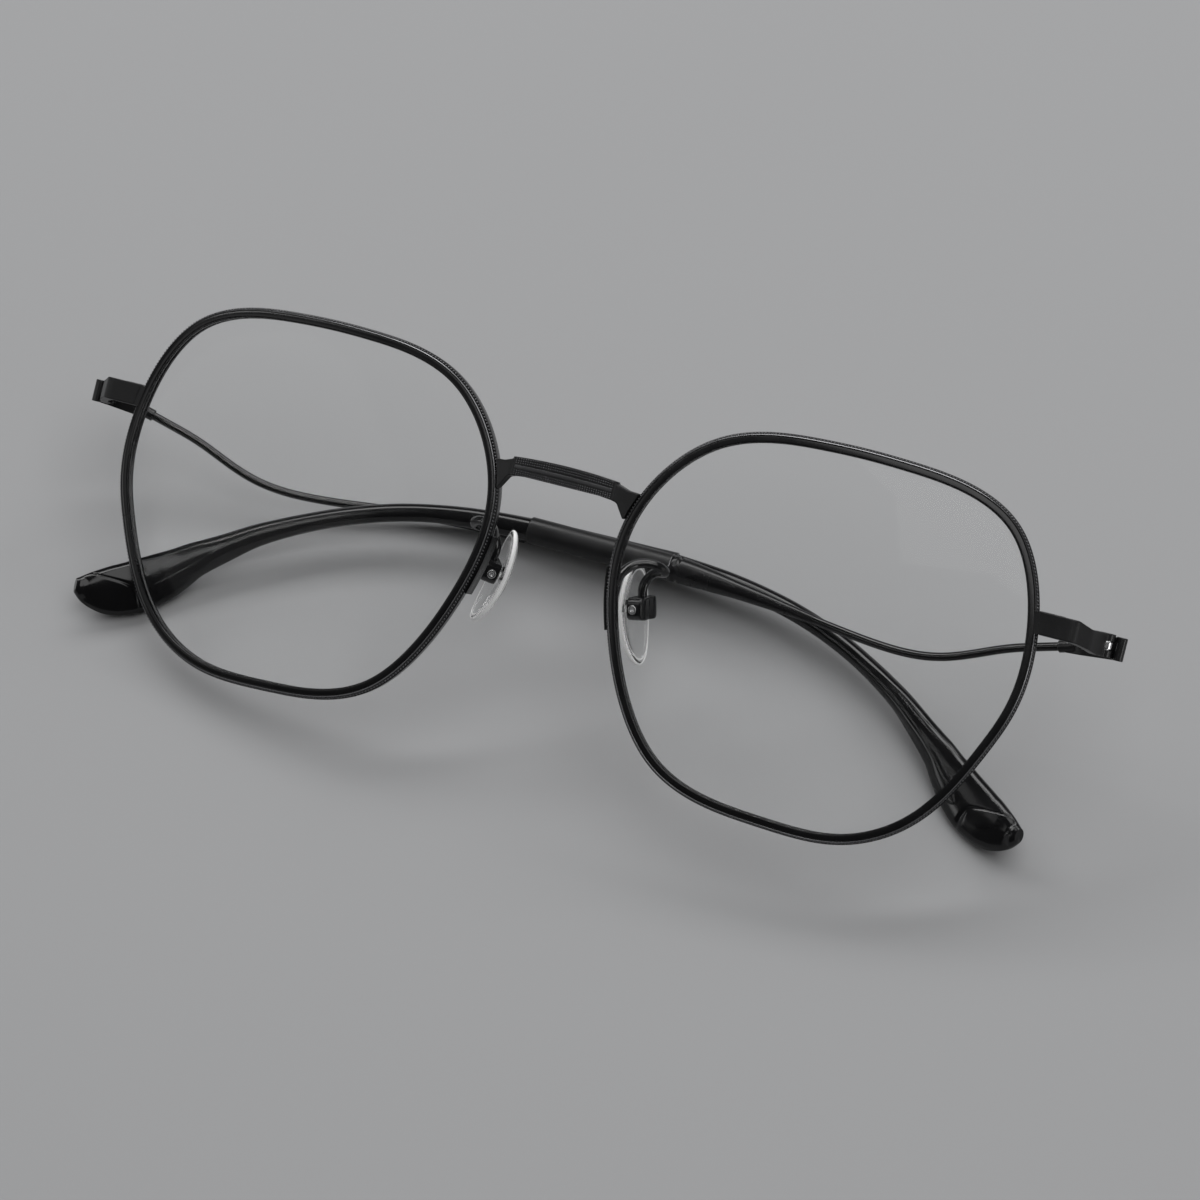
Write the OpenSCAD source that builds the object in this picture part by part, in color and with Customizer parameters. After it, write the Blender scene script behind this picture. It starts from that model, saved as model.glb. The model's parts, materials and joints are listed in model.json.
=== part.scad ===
// Metal eyeglasses with many-sided rims, temples folded, lying on a table.
// The front is drawn in its own frame: X to the right as seen from the front,
// Y to its upper edge, Z out of the front. The last step lays it on the table.

/* [Rims and lenses] */
// Width of one rim across its outer edges
rim_w = 53.5; // [51:0.1:55]
// Height of one rim across its outer edges
rim_h = 48.2; // [46:0.2:50]
// Smallest gap between the two rims, at the nose
nose_gap = 16; // [15:0.1:17]
// Width of the rim's front face
rim_face = 1.35; // [1.1:0.05:1.5]
// Depth of the rim from front to back
rim_depth = 2.3; // [1.8:0.1:2.5]
// Depth of the V groove that holds the lens
groove = 0.48; // [0.35:0.01:0.55]
// Chamfer along the rim's edges
rim_chamfer = 0.12; // [0.05:0.01:0.18]
// Radius of the sphere that the lens front follows
base_radius = 200; // [150:10:300]
// Wrap angle of each lens, outer side back
wrap = 5; // [3:0.5:7]
// Thickness of the lens
lens_t = 1.5; // [1.3:0.1:1.7]
// Play between lens and rim
lens_play = 0.05; // [0.03:0.01:0.08]

/* [Bridge] */
// Length of the engraved plate
plate_l = 14; // [12:0.2:14.4]
// Height of the plate at its ends
plate_h = 2.2; // [1.8:0.1:2.6]
// Rise of the plate's arched top
plate_arch = 0.35; // [0.1:0.05:0.6]
// Thickness of the plate
plate_t = 1.35; // [1:0.05:1.6]
// Height of the plate's middle above the middle of the lenses
plate_y = 11.75; // [11:0.25:12.5]
// How far the plate's face stands in front of the lens fronts
plate_z = 1.6; // [1.3:0.1:2]

/* [End pieces] */
// Distance from the rim's outer edge to the hinge axis
end_reach = 6.55; // [6:0.05:8]
// Height of the strip's middle above the middle of the lenses
strip_y = 8.65; // [7.8:0.05:9.4]
// Height of the strip
strip_h = 2.8; // [2.4:0.1:3.2]
// Thickness of the strip and arm
strip_t = 1.1; // [0.9:0.05:1.2]
// Distance of the hinge axis behind the strip's front face
arm_reach = 7.2; // [6.4:0.2:8]
// Splay of the arm from straight back
arm_splay = 18.4; // [14:0.2:22]
// Outer radius of the bend between strip and arm
bend_r = 1.4; // [1.2:0.1:1.8]
// How far the bend lies inside the straight line of the arm
bend_in = 0.9; // [0.4:0.1:1.2]

/* [Hinges] */
// Height of the hinge's middle above the middle of the lenses
hinge_y = 7.9; // [7.6:0.1:8.4]
// Diameter of the outer knuckles
knuckle_d = 1.9; // [1.8:0.05:1.95]
// Height of each outer knuckle
knuckle_h = 0.9; // [0.8:0.05:1.1]
// Height of the steel barrel between them
barrel_h = 0.96; // [0.8:0.02:1.1]
// Diameter of the steel barrel
barrel_d = 1.7; // [1.6:0.05:1.8]
// Diameter of the hinge screw
screw_d = 1.2; // [1:0.05:1.25]
// Gap between barrel and knuckle, end to end
knuckle_play = 0.07; // [0.04:0.01:0.1]
// Running clearance of the barrel on the screw
screw_play = 0.03; // [0.02:0.01:0.05]
// Thickness of the temple's hinge leaf
leaf_t = 0.9; // [0.7:0.05:1.1]
// Turn of the leaf away from the folding line
leaf_angle = 13.5; // [11:0.5:15]
// Diameter of the rounded stop bar
bar_d = 1.4; // [1.2:0.05:1.5]

/* [Temples] */
// Distance from the hinge axis to the end of the folded temple
temple_reach = 131.8; // [129:0.1:136]
// Diameter of the temple wire
wire_d = 1.1; // [1:0.05:1.2]
// Outer diameter of the socket that holds the wire
socket_d = 1.55; // [1.5:0.05:1.8]
// Length of the socket
socket_l = 2.1; // [2:0.1:3.6]
// Largest diameter of the cone before the sleeve
cone_d = 3.4; // [3:0.05:3.45]
// Distance along the temple to the sleeve
sleeve_at = 58; // [56:0.5:60]
// Length of the cone before the sleeve
cone_l = 20; // [16:0.5:22]
// Length of the sleeve
sleeve_l = 19.8; // [17:0.2:21]
// Diameter of the sleeve
sleeve_d = 3.5; // [3.3:0.05:3.7]
// Diameter of the tip where it meets the sleeve
tip_d = 3.1; // [2.9:0.05:3.2]
// Length of the tip's widening end
paddle_l = 33; // [29:0.5:34]
// Largest width of the tip
tip_w = 7; // [6:0.1:7.4]
// Thickness of the tip behind the ear
tip_t = 3; // [2.6:0.1:3.2]
// Angle of the right temple from the folding line
right_fold = -1.2; // [-1.4:0.1:-0.9]
// Angle between the two folded temples, of which the left one lies outside
fold_lead = 3.1; // [2.9:0.1:3.7]

/* [Nose pads] */
// Turn of the right pad's screw from straight back
right_pad_turn = 15; // [12:0.5:18]
// Turn of the left pad's screw, whose arm is bent further
left_pad_turn = 34; // [28:0.5:36]
// Height of a nose pad
pad_h = 13; // [11:0.2:13.4]
// Width of a nose pad
pad_w = 6.6; // [6:0.2:7.4]
// Thickness of a nose pad at its middle
pad_t = 1.5; // [1.3:0.1:1.7]
// Crown of the pad from its middle to its ends
pad_crown = 0.65; // [0.4:0.05:0.9]
// Diameter of the pad arm's wire
arm_d = 1.2; // [1:0.05:1.25]
// Width of the pad's box, away from the nose
box_w = 2.25; // [2:0.05:2.4]
// Height of the box
box_h = 2.9; // [2.7:0.1:3.4]
// Depth of the box, along its screw
box_l = 4.4; // [4.2:0.1:5]
// Wall of the box
box_wall = 0.42; // [0.38:0.01:0.5]
// Diameter of the pad screw
pad_screw_d = 0.8; // [0.7:0.05:0.9]
// Play of the pad's stem in its box
stem_play = 0.1; // [0.08:0.01:0.15]

/* [Hidden] */

LEFT = -1;
RIGHT = 1;
black_rim = "#1c1c1e";
black_satin = "#262628";
black_gloss = "#101012";
steel = "#c9cacc";
clear = "#dfe6e8";

// Control points of one rim's outer edge, +X to the temple side. The curve is a
// uniform cubic B-spline, so each side stays nearly straight and each corner round.
rim_cage = [[28, 2], [23.5, 22.5], [5, 24], [-3, 24], [-18, 23], [-27.5, 9.5],
            [-26, -4.5], [-17, -23], [-0.5, -24], [9.5, -24.5], [19, -19], [24.5, -7.5]];
rim_steps = 8;

// Route of the temple after its socket: distance along the folding line,
// distance behind it, and height from the hinge's middle.
temple_route = [[20, 6, -7], [27, 7.5, -7.5], [36, 9.5, -6.5], [48, 11, -5], [62, 12, -4],
                [76, 11.5, -4], [90, 10.5, -4.5], [102, 8.5, -8], [112, 5, -13.5],
                [122, 1, -21.5], [130, -3, -25], [131.8, -4.2, -25]];

// Route of the right pad arm, from behind the rim up and round to the pad's box,
// measured from the middle of the rim's back edge.
arm_bend = [[0.2, 1.3, -3], [0.4, 2.4, -4.4], [1.3, 3.5, -5.6], [2.7, 3.9, -6.2],
            [4.1, 3.8, -6.9], [4.8, 3.2, -7.9], [4, 3, -8.8], [3, 3, -9.5], [2.1, 2.3, -10]];

// Splines

function weights(u) = [pow(1 - u, 3), 3 * pow(u, 3) - 6 * u * u + 4,
                       -3 * pow(u, 3) + 3 * u * u + 3 * u + 1, pow(u, 3)] / 6;

function closed_point(cage, t) =
    let(n = len(cage), i = floor(t), w = weights(t - i))
    w[0] * cage[(i + n - 1) % n] + w[1] * cage[i % n]
    + w[2] * cage[(i + 1) % n] + w[3] * cage[(i + 2) % n];

// An open spline starts and ends at its cage's end points.
function cage_at(cage, i) =
    let(n = len(cage))
    i < 0 ? 2 * cage[0] - cage[1] : i > n - 1 ? 2 * cage[n - 1] - cage[n - 2] : cage[i];

function open_point(cage, t) =
    let(i = min(floor(t), len(cage) - 2), w = weights(t - i))
    w[0] * cage_at(cage, i - 1) + w[1] * cage_at(cage, i)
    + w[2] * cage_at(cage, i + 1) + w[3] * cage_at(cage, i + 2);

function open_tangent(cage, t) =
    let(step = 0.01, last = len(cage) - 1, a = max(t - step, 0), b = min(t + step, last))
    unit(open_point(cage, b) - open_point(cage, a));

function unit(v) = v / norm(v);

// Rounded polygons: each corner is [x, y, radius].

function turned(p, a) = [p[0] * cos(a) - p[1] * sin(a), p[0] * sin(a) + p[1] * cos(a)];

function corner_arc(a, b, c, r, steps) =
    r == 0 ? [b] :
    let(u = unit(a - b), v = unit(c - b), half = acos(u * v) / 2,
        middle = b + unit(u + v) * r / sin(half),
        start = b + u * r / tan(half) - middle,
        way = cross(u, v) < 0 ? 1 : -1)
    [for (k = [0:steps]) middle + turned(start, way * (180 - 2 * half) * k / steps)];

function rounded(corners, steps = 5) =
    let(n = len(corners))
    [for (i = [0:n - 1])
        let(a = corners[(i + n - 1) % n], b = corners[i], c = corners[(i + 1) % n])
        each corner_arc([a[0], a[1]], [b[0], b[1]], [c[0], c[1]], b[2], steps)];

// Skins over rings of points

function bands(rings, n) =
    [for (i = [0:rings - 2], j = [0:n - 1])
        let(k = (j + 1) % n)
        each [[i * n + j, i * n + k, (i + 1) * n + k], [i * n + j, (i + 1) * n + k, (i + 1) * n + j]]];

// A closed skin: first and last are the points that close its two ends.
module skin(rings, first, last) {
    n = len(rings[0]);
    m = len(rings);
    points = concat([for (r = rings) each r], [first, last]);
    start_cap = [for (j = [0:n - 1]) [m * n, (j + 1) % n, j]];
    end_cap = [for (j = [0:n - 1]) [m * n + 1, (m - 1) * n + j, (m - 1) * n + (j + 1) % n]];
    polyhedron(points, concat(bands(m, n), start_cap, end_cap), convexity = 8);
}

// Places

function lens_x() = (nose_gap + rim_w) / 2;
function hinge_x() = lens_x() + rim_w / 2 + end_reach;

module sided(side) {
    laid() mirror([side == LEFT ? 1 : 0, 0, 0]) children();
}

module at_lens() {
    translate([lens_x(), 0, 0]) rotate([0, wrap, 0]) children();
}

// A solid with the given outline in X and Z, from one height to another
module standing(outline, low, high) {
    translate([0, high, 0]) rotate([90, 0, 0]) linear_extrude(high - low) polygon(outline);
}

// A solid with the given outline in Z and Y, from one side to another
module crosswise(outline, near, far) {
    translate([far, 0, 0]) rotate([0, -90, 0]) linear_extrude(far - near) polygon(outline);
}

// A cylinder along Y
module post(d, low, high, sides = 32) {
    translate([0, low, 0]) rotate([-90, 0, 0]) cylinder(d = d, h = high - low, $fn = sides);
}

// Rim outline, scaled so that it has exactly the stated width and height

raw_outline = [for (i = [0:len(rim_cage) * rim_steps - 1]) closed_point(rim_cage, i / rim_steps)];
raw_x = [for (p = raw_outline) p[0]];
raw_y = [for (p = raw_outline) p[1]];
rim_fit = [rim_w / (max(raw_x) - min(raw_x)), rim_h / (max(raw_y) - min(raw_y))];
rim_mid = [(max(raw_x) + min(raw_x)) / 2, (max(raw_y) + min(raw_y)) / 2];

function rim_point(t) =
    let(p = closed_point(rim_cage, t) - rim_mid)
    [p[0] * rim_fit[0], p[1] * rim_fit[1]];

// The direction away from the lens, square to the edge
function rim_out(t) =
    let(d = unit(rim_point(t + 0.01) - rim_point(t - 0.01 + len(rim_cage))))
    [d[1], -d[0]];

function sphere_z(p) = sqrt(base_radius * base_radius - p[0] * p[0] - p[1] * p[1]) - base_radius;

// A point beside the rim's outer edge: a outwards, b back from its front
function beside_rim(t, a, b) =
    let(p = rim_point(t), q = p + a * rim_out(t))
    [q[0], q[1], sphere_z(p) - b];

// Where the outer edge passes a given height on the temple side
function rim_turn_at(y, low = 0, high = 1, left = 24) =
    let(mid = (low + high) / 2)
    left == 0 ? mid :
    rim_point(mid)[1] < y ? rim_turn_at(y, mid, high, left - 1) : rim_turn_at(y, low, mid, left - 1);

// Rims: a grooved wire bent round the lens, whose two ends meet in the lock

split_gap = 0.1;
turns = len(rim_cage);
c = rim_chamfer;
groove_half = 0.35;
rim_section = [[0, c], [-c, 0], [c - rim_face, 0], [-rim_face, c],
               [-rim_face, rim_depth / 2 - groove_half], [groove - rim_face, rim_depth / 2],
               [-rim_face, rim_depth / 2 + groove_half], [-rim_face, rim_depth - c],
               [c - rim_face, rim_depth], [-c, rim_depth], [0, rim_depth - c]];
rim_core = [-(rim_face - groove) / 2, rim_depth / 2];

rim_start = rim_turn_at(strip_y + split_gap / 2);
rim_end = rim_turn_at(strip_y - split_gap / 2) + turns;
rim_stations = concat([rim_start],
    [for (i = [floor(rim_start * rim_steps) + 1:ceil(rim_end * rim_steps) - 1]) i / rim_steps], [rim_end]);

module rim() {
    rings = [for (t = rim_stations) [for (s = rim_section) beside_rim(t, s[0], s[1])]];
    color(black_rim) at_lens() skin(rings, beside_rim(rim_start, rim_core[0], rim_core[1]),
        beside_rim(rim_end, rim_core[0], rim_core[1]));
}

// The space inside the outer edge, cut from what is soldered to the rim
module rim_space() {
    at_lens() translate([0, 0, -12]) linear_extrude(24) polygon([for (t = rim_stations) rim_point(t)]);
}

// Lenses: two spherical faces and a bevel that sits in the rim's groove

module lens() {
    edge = -rim_face - lens_play;
    apex = groove - rim_face - lens_play;
    front_b = (rim_depth - lens_t) / 2;
    back_b = front_b + lens_t;
    bevel_half = groove_half - lens_play;
    section = [[edge, front_b], [edge, rim_depth / 2 - bevel_half], [apex, rim_depth / 2],
               [edge, rim_depth / 2 + bevel_half], [edge, back_b]];
    ts = [for (i = [0:turns * rim_steps - 1]) i / rim_steps];
    rings = [for (s = section) [for (t = ts) beside_rim(t, s[0], s[1])]];
    front = [for (k = [0.35, 0.7]) [for (p = rings[0]) [k * p[0], k * p[1], sphere_z(k * p) - front_b]]];
    back = [for (k = [0.7, 0.35]) [for (p = rings[0]) [k * p[0], k * p[1], sphere_z(k * p) - back_b]]];
    color(clear) at_lens() skin(concat(front, rings, back), [0, 0, -front_b], [0, 0, -back_b]);
}

// Bridge: an engraved plate standing in front of two struts that reach the rims

module bridge_half() {
    edge_x = nose_gap / 2;
    half_l = plate_l / 2;
    low = plate_y - plate_h / 2;
    high = plate_y + plate_h / 2;
    back = plate_z - plate_t;
    root_back = back - 1.3;
    front_outline = rounded([[half_l - 0.6, high - 0.1, 0], [half_l - 0.6, low - 0.1, 0],
        [edge_x - 0.7, low - 0.35, 0.5], [edge_x + 0.35, low - 2.1, 0], [edge_x + 5, low - 2.1, 0],
        [edge_x + 5, high - 1, 0], [edge_x + 0.2, high - 0.7, 1.5]]);
    side_outline = [[half_l - 1.5, back], [half_l - 0.2, root_back + 0.3], [edge_x + 5, root_back - 0.3],
        [edge_x + 5, back - 0.35], [edge_x + 1.3, back + 0.05], [half_l + 0.2, plate_z - 0.3],
        [half_l - 0.6, plate_z - 0.1]];
    difference() {
        intersection() {
            translate([0, 0, root_back - 1]) linear_extrude(plate_z + 3) polygon(front_outline);
            standing(side_outline, low - 3, high + 1);
        }
        rim_space();
    }
}

module bridge() {
    half_l = plate_l / 2;
    low = plate_y - plate_h / 2;
    high = plate_y + plate_h / 2;
    steps = 12;
    arch = [for (i = [0:steps]) let(x = half_l * (1 - 2 * i / steps))
        [x, high + plate_arch * (1 - pow(x / half_l, 2))]];
    base = [[-half_l, low - 0.2], [-half_l + 2, low], [half_l - 2, low], [half_l, low - 0.2]];
    color(black_rim) laid() union() {
        intersection() {
            translate([0, 0, plate_z - plate_t]) linear_extrude(plate_t) polygon(concat(base, arch));
            standing([[-half_l, plate_z - plate_t], [half_l, plate_z - plate_t], [half_l, plate_z - 0.4],
                [half_l - 0.35, plate_z], [0.35 - half_l, plate_z], [-half_l, plate_z - 0.4]],
                low - 1, high + 1);
        }
        bridge_half();
        mirror([1, 0, 0]) bridge_half();
    }
}

// End pieces: a strip in line with the rim's face, bent back into a splayed arm

strip_z = beside_rim_front(strip_y);
function beside_rim_front(y) =
    let(p = beside_rim(rim_turn_at(y), 0, 0))
    p[2] * cos(wrap) - p[0] * sin(wrap);
strip_x = let(p = beside_rim(rim_turn_at(strip_y), 0, 0)) lens_x() + p[0] * cos(wrap) + p[2] * sin(wrap);
hinge_z = strip_z - arm_reach;
arm_out = 0.45;
arm_in = arm_out - strip_t;
arm_end = 1.35;

// From the hinge axis: p along the arm, q outwards from it
function arm_point(p, q) =
    [hinge_x() - p * sin(arm_splay) + q * cos(arm_splay), hinge_z + p * cos(arm_splay) + q * sin(arm_splay)];

// Where the arm's face meets a plane across the front
function arm_meets(z, q) = arm_point((z - hinge_z - q * sin(arm_splay)) / cos(arm_splay), q);

module end_piece() {
    front = strip_z;
    back = strip_z - strip_t;
    stack = knuckle_h + barrel_h / 2 + knuckle_play;
    outer = arm_meets(front, arm_out);
    inner = arm_meets(back, arm_in);
    straight = 4.8;
    plan = rounded([[strip_x - 3, front, 0], [strip_x - 3, back, 0], [inner[0] - bend_in, inner[1], 0.35],
        concat(arm_point(straight, arm_in), 3), concat(arm_point(arm_end, arm_in), 0),
        concat(arm_point(arm_end, arm_out), 0), concat(arm_point(straight, arm_out), 3),
        [outer[0] - bend_in, outer[1], bend_r]]);
    high = strip_y + strip_h / 2;
    low = strip_y - strip_h / 2;
    profile = rounded([[front + 1, high, 0], [front + 1, low, 0], [front - 0.7, low, 1.5],
        [hinge_z + 2.4, hinge_y - stack, 2], [hinge_z - 1, hinge_y - stack, 0],
        [hinge_z - 1, hinge_y + stack, 0], [front - 2.6, hinge_y + stack, 2.4], [front - 0.5, high, 1]]);
    color(black_satin) difference() {
        intersection() {
            standing(plan, low - 3, high + 3);
            crosswise(profile, strip_x - 4, hinge_x() + 2);
        }
        rim_space();
    }
}

// Rim locks: two soldered blocks, one on each end of the rim, drawn together by a screw

lock_l = 2.6;
lock_t = 1.9;
lock_screw_d = 1;
lock_head_d = 1.5;
lock_head_h = 0.3;
thread_play = 0.01;

function lock_place() = [strip_x + 1.55, 0, strip_z - strip_t - lock_t / 2];

module rim_lock() {
    half = strip_h / 2;
    back = strip_z - strip_t - lock_t;
    outline = rounded([[strip_x - 3, strip_z - strip_t, 0], [strip_x - 3, back, 0],
        [strip_x + lock_l, back, 0.5], [strip_x + lock_l, strip_z - strip_t, 0]]);
    color(black_rim) difference() {
        standing(outline, strip_y - half, strip_y + half);
        rim_space();
        translate([strip_x - 5, strip_y - split_gap / 2, back - 1]) cube([12, split_gap, lock_t + 2]);
        translate(lock_place()) post(lock_screw_d + 2 * thread_play, 0, strip_y + half + 1);
        translate(lock_place()) post(lock_head_d + 2 * thread_play, strip_y + half - lock_head_h, strip_y + half + 1);
    }
}

module lock_screw() {
    half = strip_h / 2;
    color(steel) translate(lock_place()) difference() {
        union() {
            post(lock_screw_d, strip_y - half + 0.2, strip_y + half - lock_head_h / 2);
            post(lock_head_d, strip_y + half - lock_head_h, strip_y + half - 0.02);
        }
        translate([-1, strip_y + half - 0.16, -0.1]) cube([2, 1, 0.2]);
    }
}

// Hinges: two knuckles on the front, a steel barrel on the temple, one screw

stack_half = barrel_h / 2 + knuckle_play + knuckle_h;
slot_half = barrel_h / 2 + knuckle_play;
head_d = screw_d + 0.3;
head_h = 0.28;
plate_in = 0.6;

module at_hinge() {
    translate([hinge_x(), hinge_y, hinge_z]) children();
}

module front_hinge() {
    bore = screw_d + 2 * screw_play;
    inside = arm_in - plate_in;
    color(black_satin) at_hinge() rotate([0, -arm_splay, 0]) difference() {
        union() {
            post(knuckle_d, -stack_half, stack_half);
            translate([arm_in, -stack_half, 0]) cube([strip_t, 2 * stack_half, arm_end]);
            translate([inside, 0.3 - stack_half, 0.2]) cube([plate_in, 2 * stack_half - 0.6, 4.4]);
        }
        post(2 * arm_end - 0.4, -slot_half, slot_half);
        translate([-2, -slot_half, -2]) cube([4, 2 * slot_half, 2]);
        post(bore, -stack_half - 1, stack_half + 1);
        post(head_d + 2 * screw_play, stack_half - head_h, stack_half + 1);
    }
}

module hinge_screw() {
    color(steel) at_hinge() rotate([0, -arm_splay, 0]) difference() {
        union() {
            post(screw_d, -stack_half, stack_half - head_h / 2);
            post(head_d, stack_half - head_h, stack_half - 0.02);
        }
        translate([-1, stack_half - 0.16, -0.12]) cube([2, 1, 0.24]);
    }
}

// The temple's own frame: hinge axis at the origin, folding line along -X

leaf_gap = 0.1;
leaf_front = -knuckle_d / 2 - leaf_gap;
leaf_back = leaf_front - leaf_t;
tang_w = 0.9;
tang_depth = 0.5;
socket_slope = 15;
socket_x = -4.4;
socket_y = -1.12;
wire_in = 0.6;

module on_temple(fold) {
    at_hinge() rotate([0, -fold, 0]) children();
}

module on_leaf() {
    rotate([0, -leaf_angle, 0]) children();
}

// The barrel's tang sits in a slot of the leaf
module hinge_barrel(fold) {
    color(steel) on_temple(fold) on_leaf() difference() {
        union() {
            post(barrel_d, -barrel_h / 2, barrel_h / 2);
            translate([-tang_w / 2, -barrel_h / 2, leaf_front - tang_depth])
                cube([tang_w, barrel_h, tang_depth - leaf_front]);
        }
        post(screw_d + 2 * screw_play, -barrel_h, barrel_h);
    }
}

module at_socket() {
    translate([socket_x, socket_y, (leaf_front + leaf_back) / 2]) rotate([0, 0, socket_slope])
        rotate([0, -90, 0]) children();
}

module temple_leaf(fold) {
    bar_x = leaf_reach() - bar_d / 2;
    bar_z = leaf_front - 0.05;
    outline = rounded([[bar_x, 1.25, 0], [0.3, 1.15, 0.6], [-1.8, 0.8, 1.5], [-4, -0.35, 1],
        [socket_x - 1, socket_y - 0.1, 0.4], [socket_x - 1.3, socket_y - 1.1, 0.3], [-3.4, -2.05, 1.5],
        [0, -1.7, 1], [bar_x, -1.6, 0]]);
    color(black_satin) on_temple(fold) on_leaf() difference() {
        union() {
            translate([0, 0, leaf_back]) linear_extrude(leaf_t) polygon(outline);
            translate([bar_x, 0, bar_z]) post(bar_d, -1.6, 1.3);
            at_socket() cylinder(d = socket_d, h = socket_l, $fn = 32);
        }
        translate([-tang_w / 2, -barrel_h / 2, leaf_front - tang_depth]) cube([tang_w, barrel_h, 2]);
        at_socket() translate([0, 0, wire_in]) cylinder(d = wire_d + 0.05, h = socket_l, $fn = 32);
    }
}

function leaf_reach() = 2.15;

// Temple wire: starts in the socket, runs through cone and sleeve into the tip

function leaf_to_temple(p) =
    [-p[0] * cos(leaf_angle) + p[2] * sin(leaf_angle), -p[0] * sin(leaf_angle) - p[2] * cos(leaf_angle), p[1]];

socket_mid = [socket_x, socket_y, (leaf_front + leaf_back) / 2];
socket_way = [-cos(socket_slope), -sin(socket_slope), 0];
wire_start = leaf_to_temple(socket_mid + (wire_in + 0.05) * socket_way);
wire_way = leaf_to_temple(socket_way);
wire_lead = 4.5;
route_l = temple_route[len(temple_route) - 1][0];
route_scale = temple_reach / route_l;
left_fold = right_fold + fold_lead + 0.1 * max(0, route_l - temple_reach);
temple_cage = concat([for (d = [0, 1, 2]) wire_start + d * wire_lead * wire_way],
    [for (p = temple_route) p * route_scale]);
cage_last = len(temple_cage) - 1;

// Cage parameter where the temple is a given distance along the folding line
function temple_turn_at(s, low = 0, high = cage_last, left = 26) =
    let(mid = (low + high) / 2)
    left == 0 ? mid :
    open_point(temple_cage, mid)[0] < s ? temple_turn_at(s, mid, high, left - 1)
                                        : temple_turn_at(s, low, mid, left - 1);

function to_space(p) = [-p[0], p[2], -p[1]];

// A ring round the temple's line: wide up and down, thick across. A raised ring
// has its middle above the line.
function temple_ring(s, wide, thick, sides, square = 2, raised = 0) =
    let(t = temple_turn_at(s), mid = open_point(temple_cage, t), way = open_tangent(temple_cage, t),
        up = unit([0, 0, 1] - way[2] * way), across = cross(way, up))
    [for (k = [0:sides - 1])
        let(a = 360 * k / sides, e = 2 / square, cu = cos(a), cv = sin(a))
        to_space(mid + up * (raised + wide / 2 * sign(cu) * pow(abs(cu), e))
                     + across * thick / 2 * sign(cv) * pow(abs(cv), e))];

function temple_mid(s) = to_space(open_point(temple_cage, temple_turn_at(s)));

// Stations along the wire, closer together where it bends
socket_mouth = wire_start[0] + socket_l * wire_way[0];
bend_end = socket_mouth + 26;
drop_start = 100 * route_scale;
wire_end = 121 * route_scale;
wire_stations = concat([wire_start[0] + 0.01],
    [for (k = [0:11]) socket_mouth + (bend_end - socket_mouth) * k / 12],
    [for (k = [0:10]) bend_end + (drop_start - bend_end) * k / 11],
    [for (k = [0:7]) drop_start + (wire_end - drop_start) * k / 7]);

module temple_wire(fold) {
    sides = 10;
    rings = [for (s = wire_stations) temple_ring(s, wire_d, wire_d, sides)];
    color(black_rim) on_temple(fold)
        skin(rings, temple_mid(wire_start[0]), temple_mid(wire_end + 0.05));
}

// Cone: a turned ferrule that swells to the sleeve, with a ring at its end
module temple_cone(fold) {
    sides = 12;
    bore = wire_d + 0.12;
    thin = bore + 0.12;
    ring_at = sleeve_at - 0.7;
    begin = sleeve_at - cone_l;
    profile = [[begin, thin], [begin + 0.2 * cone_l, wire_d + 0.45], [begin + 0.36 * cone_l, wire_d + 0.85],
               [begin + 0.55 * cone_l, cone_d - 1.05], [begin + 0.7 * cone_l, cone_d - 0.55],
               [begin + 0.85 * cone_l, cone_d - 0.15],
               [ring_at - 0.5, cone_d], [ring_at - 0.3, cone_d - 0.35], [ring_at, cone_d - 0.35],
               [ring_at + 0.15, cone_d], [sleeve_at, cone_d]];
    inner = [for (k = [6:-1:0]) temple_ring(begin + (sleeve_at - begin) * k / 6, bore, bore, sides)];
    outer = [for (p = profile) temple_ring(p[0], p[1], p[1], sides)];
    color(black_rim) on_temple(fold) ring_skin(concat(inner, outer));
}

// A skin whose last ring joins its first, as on a tube
module ring_skin(rings) {
    n = len(rings[0]);
    m = len(rings);
    close = [for (j = [0:n - 1])
        let(k = (j + 1) % n)
        each [[(m - 1) * n + j, (m - 1) * n + k, k], [(m - 1) * n + j, k, j]]];
    polyhedron([for (r = rings) each r], concat(bands(m, n), close), convexity = 8);
}

// Sleeve: a straight tube between two points of the temple's curved line
sleeve_gap = 0.1;
sleeve_bore = wire_d + 0.75;

module temple_sleeve(fold) {
    a = temple_mid(sleeve_at);
    b = temple_mid(sleeve_at + sleeve_l);
    d = b - a;
    color(black_satin) on_temple(fold) translate(a)
        rotate([0, acos(d[2] / norm(d)), atan2(d[1], d[0])]) difference() {
            translate([0, 0, sleeve_gap]) cylinder(d = sleeve_d, h = norm(d) - 2 * sleeve_gap, $fn = 48);
            cylinder(d = sleeve_bore, h = norm(d), $fn = 32);
        }
}

// Tip: slim behind the sleeve, then a flat paddle that bends down behind the ear.
// The paddle swells on its lower side and slopes back to its end.
tip_outer = tip_rings();

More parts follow.
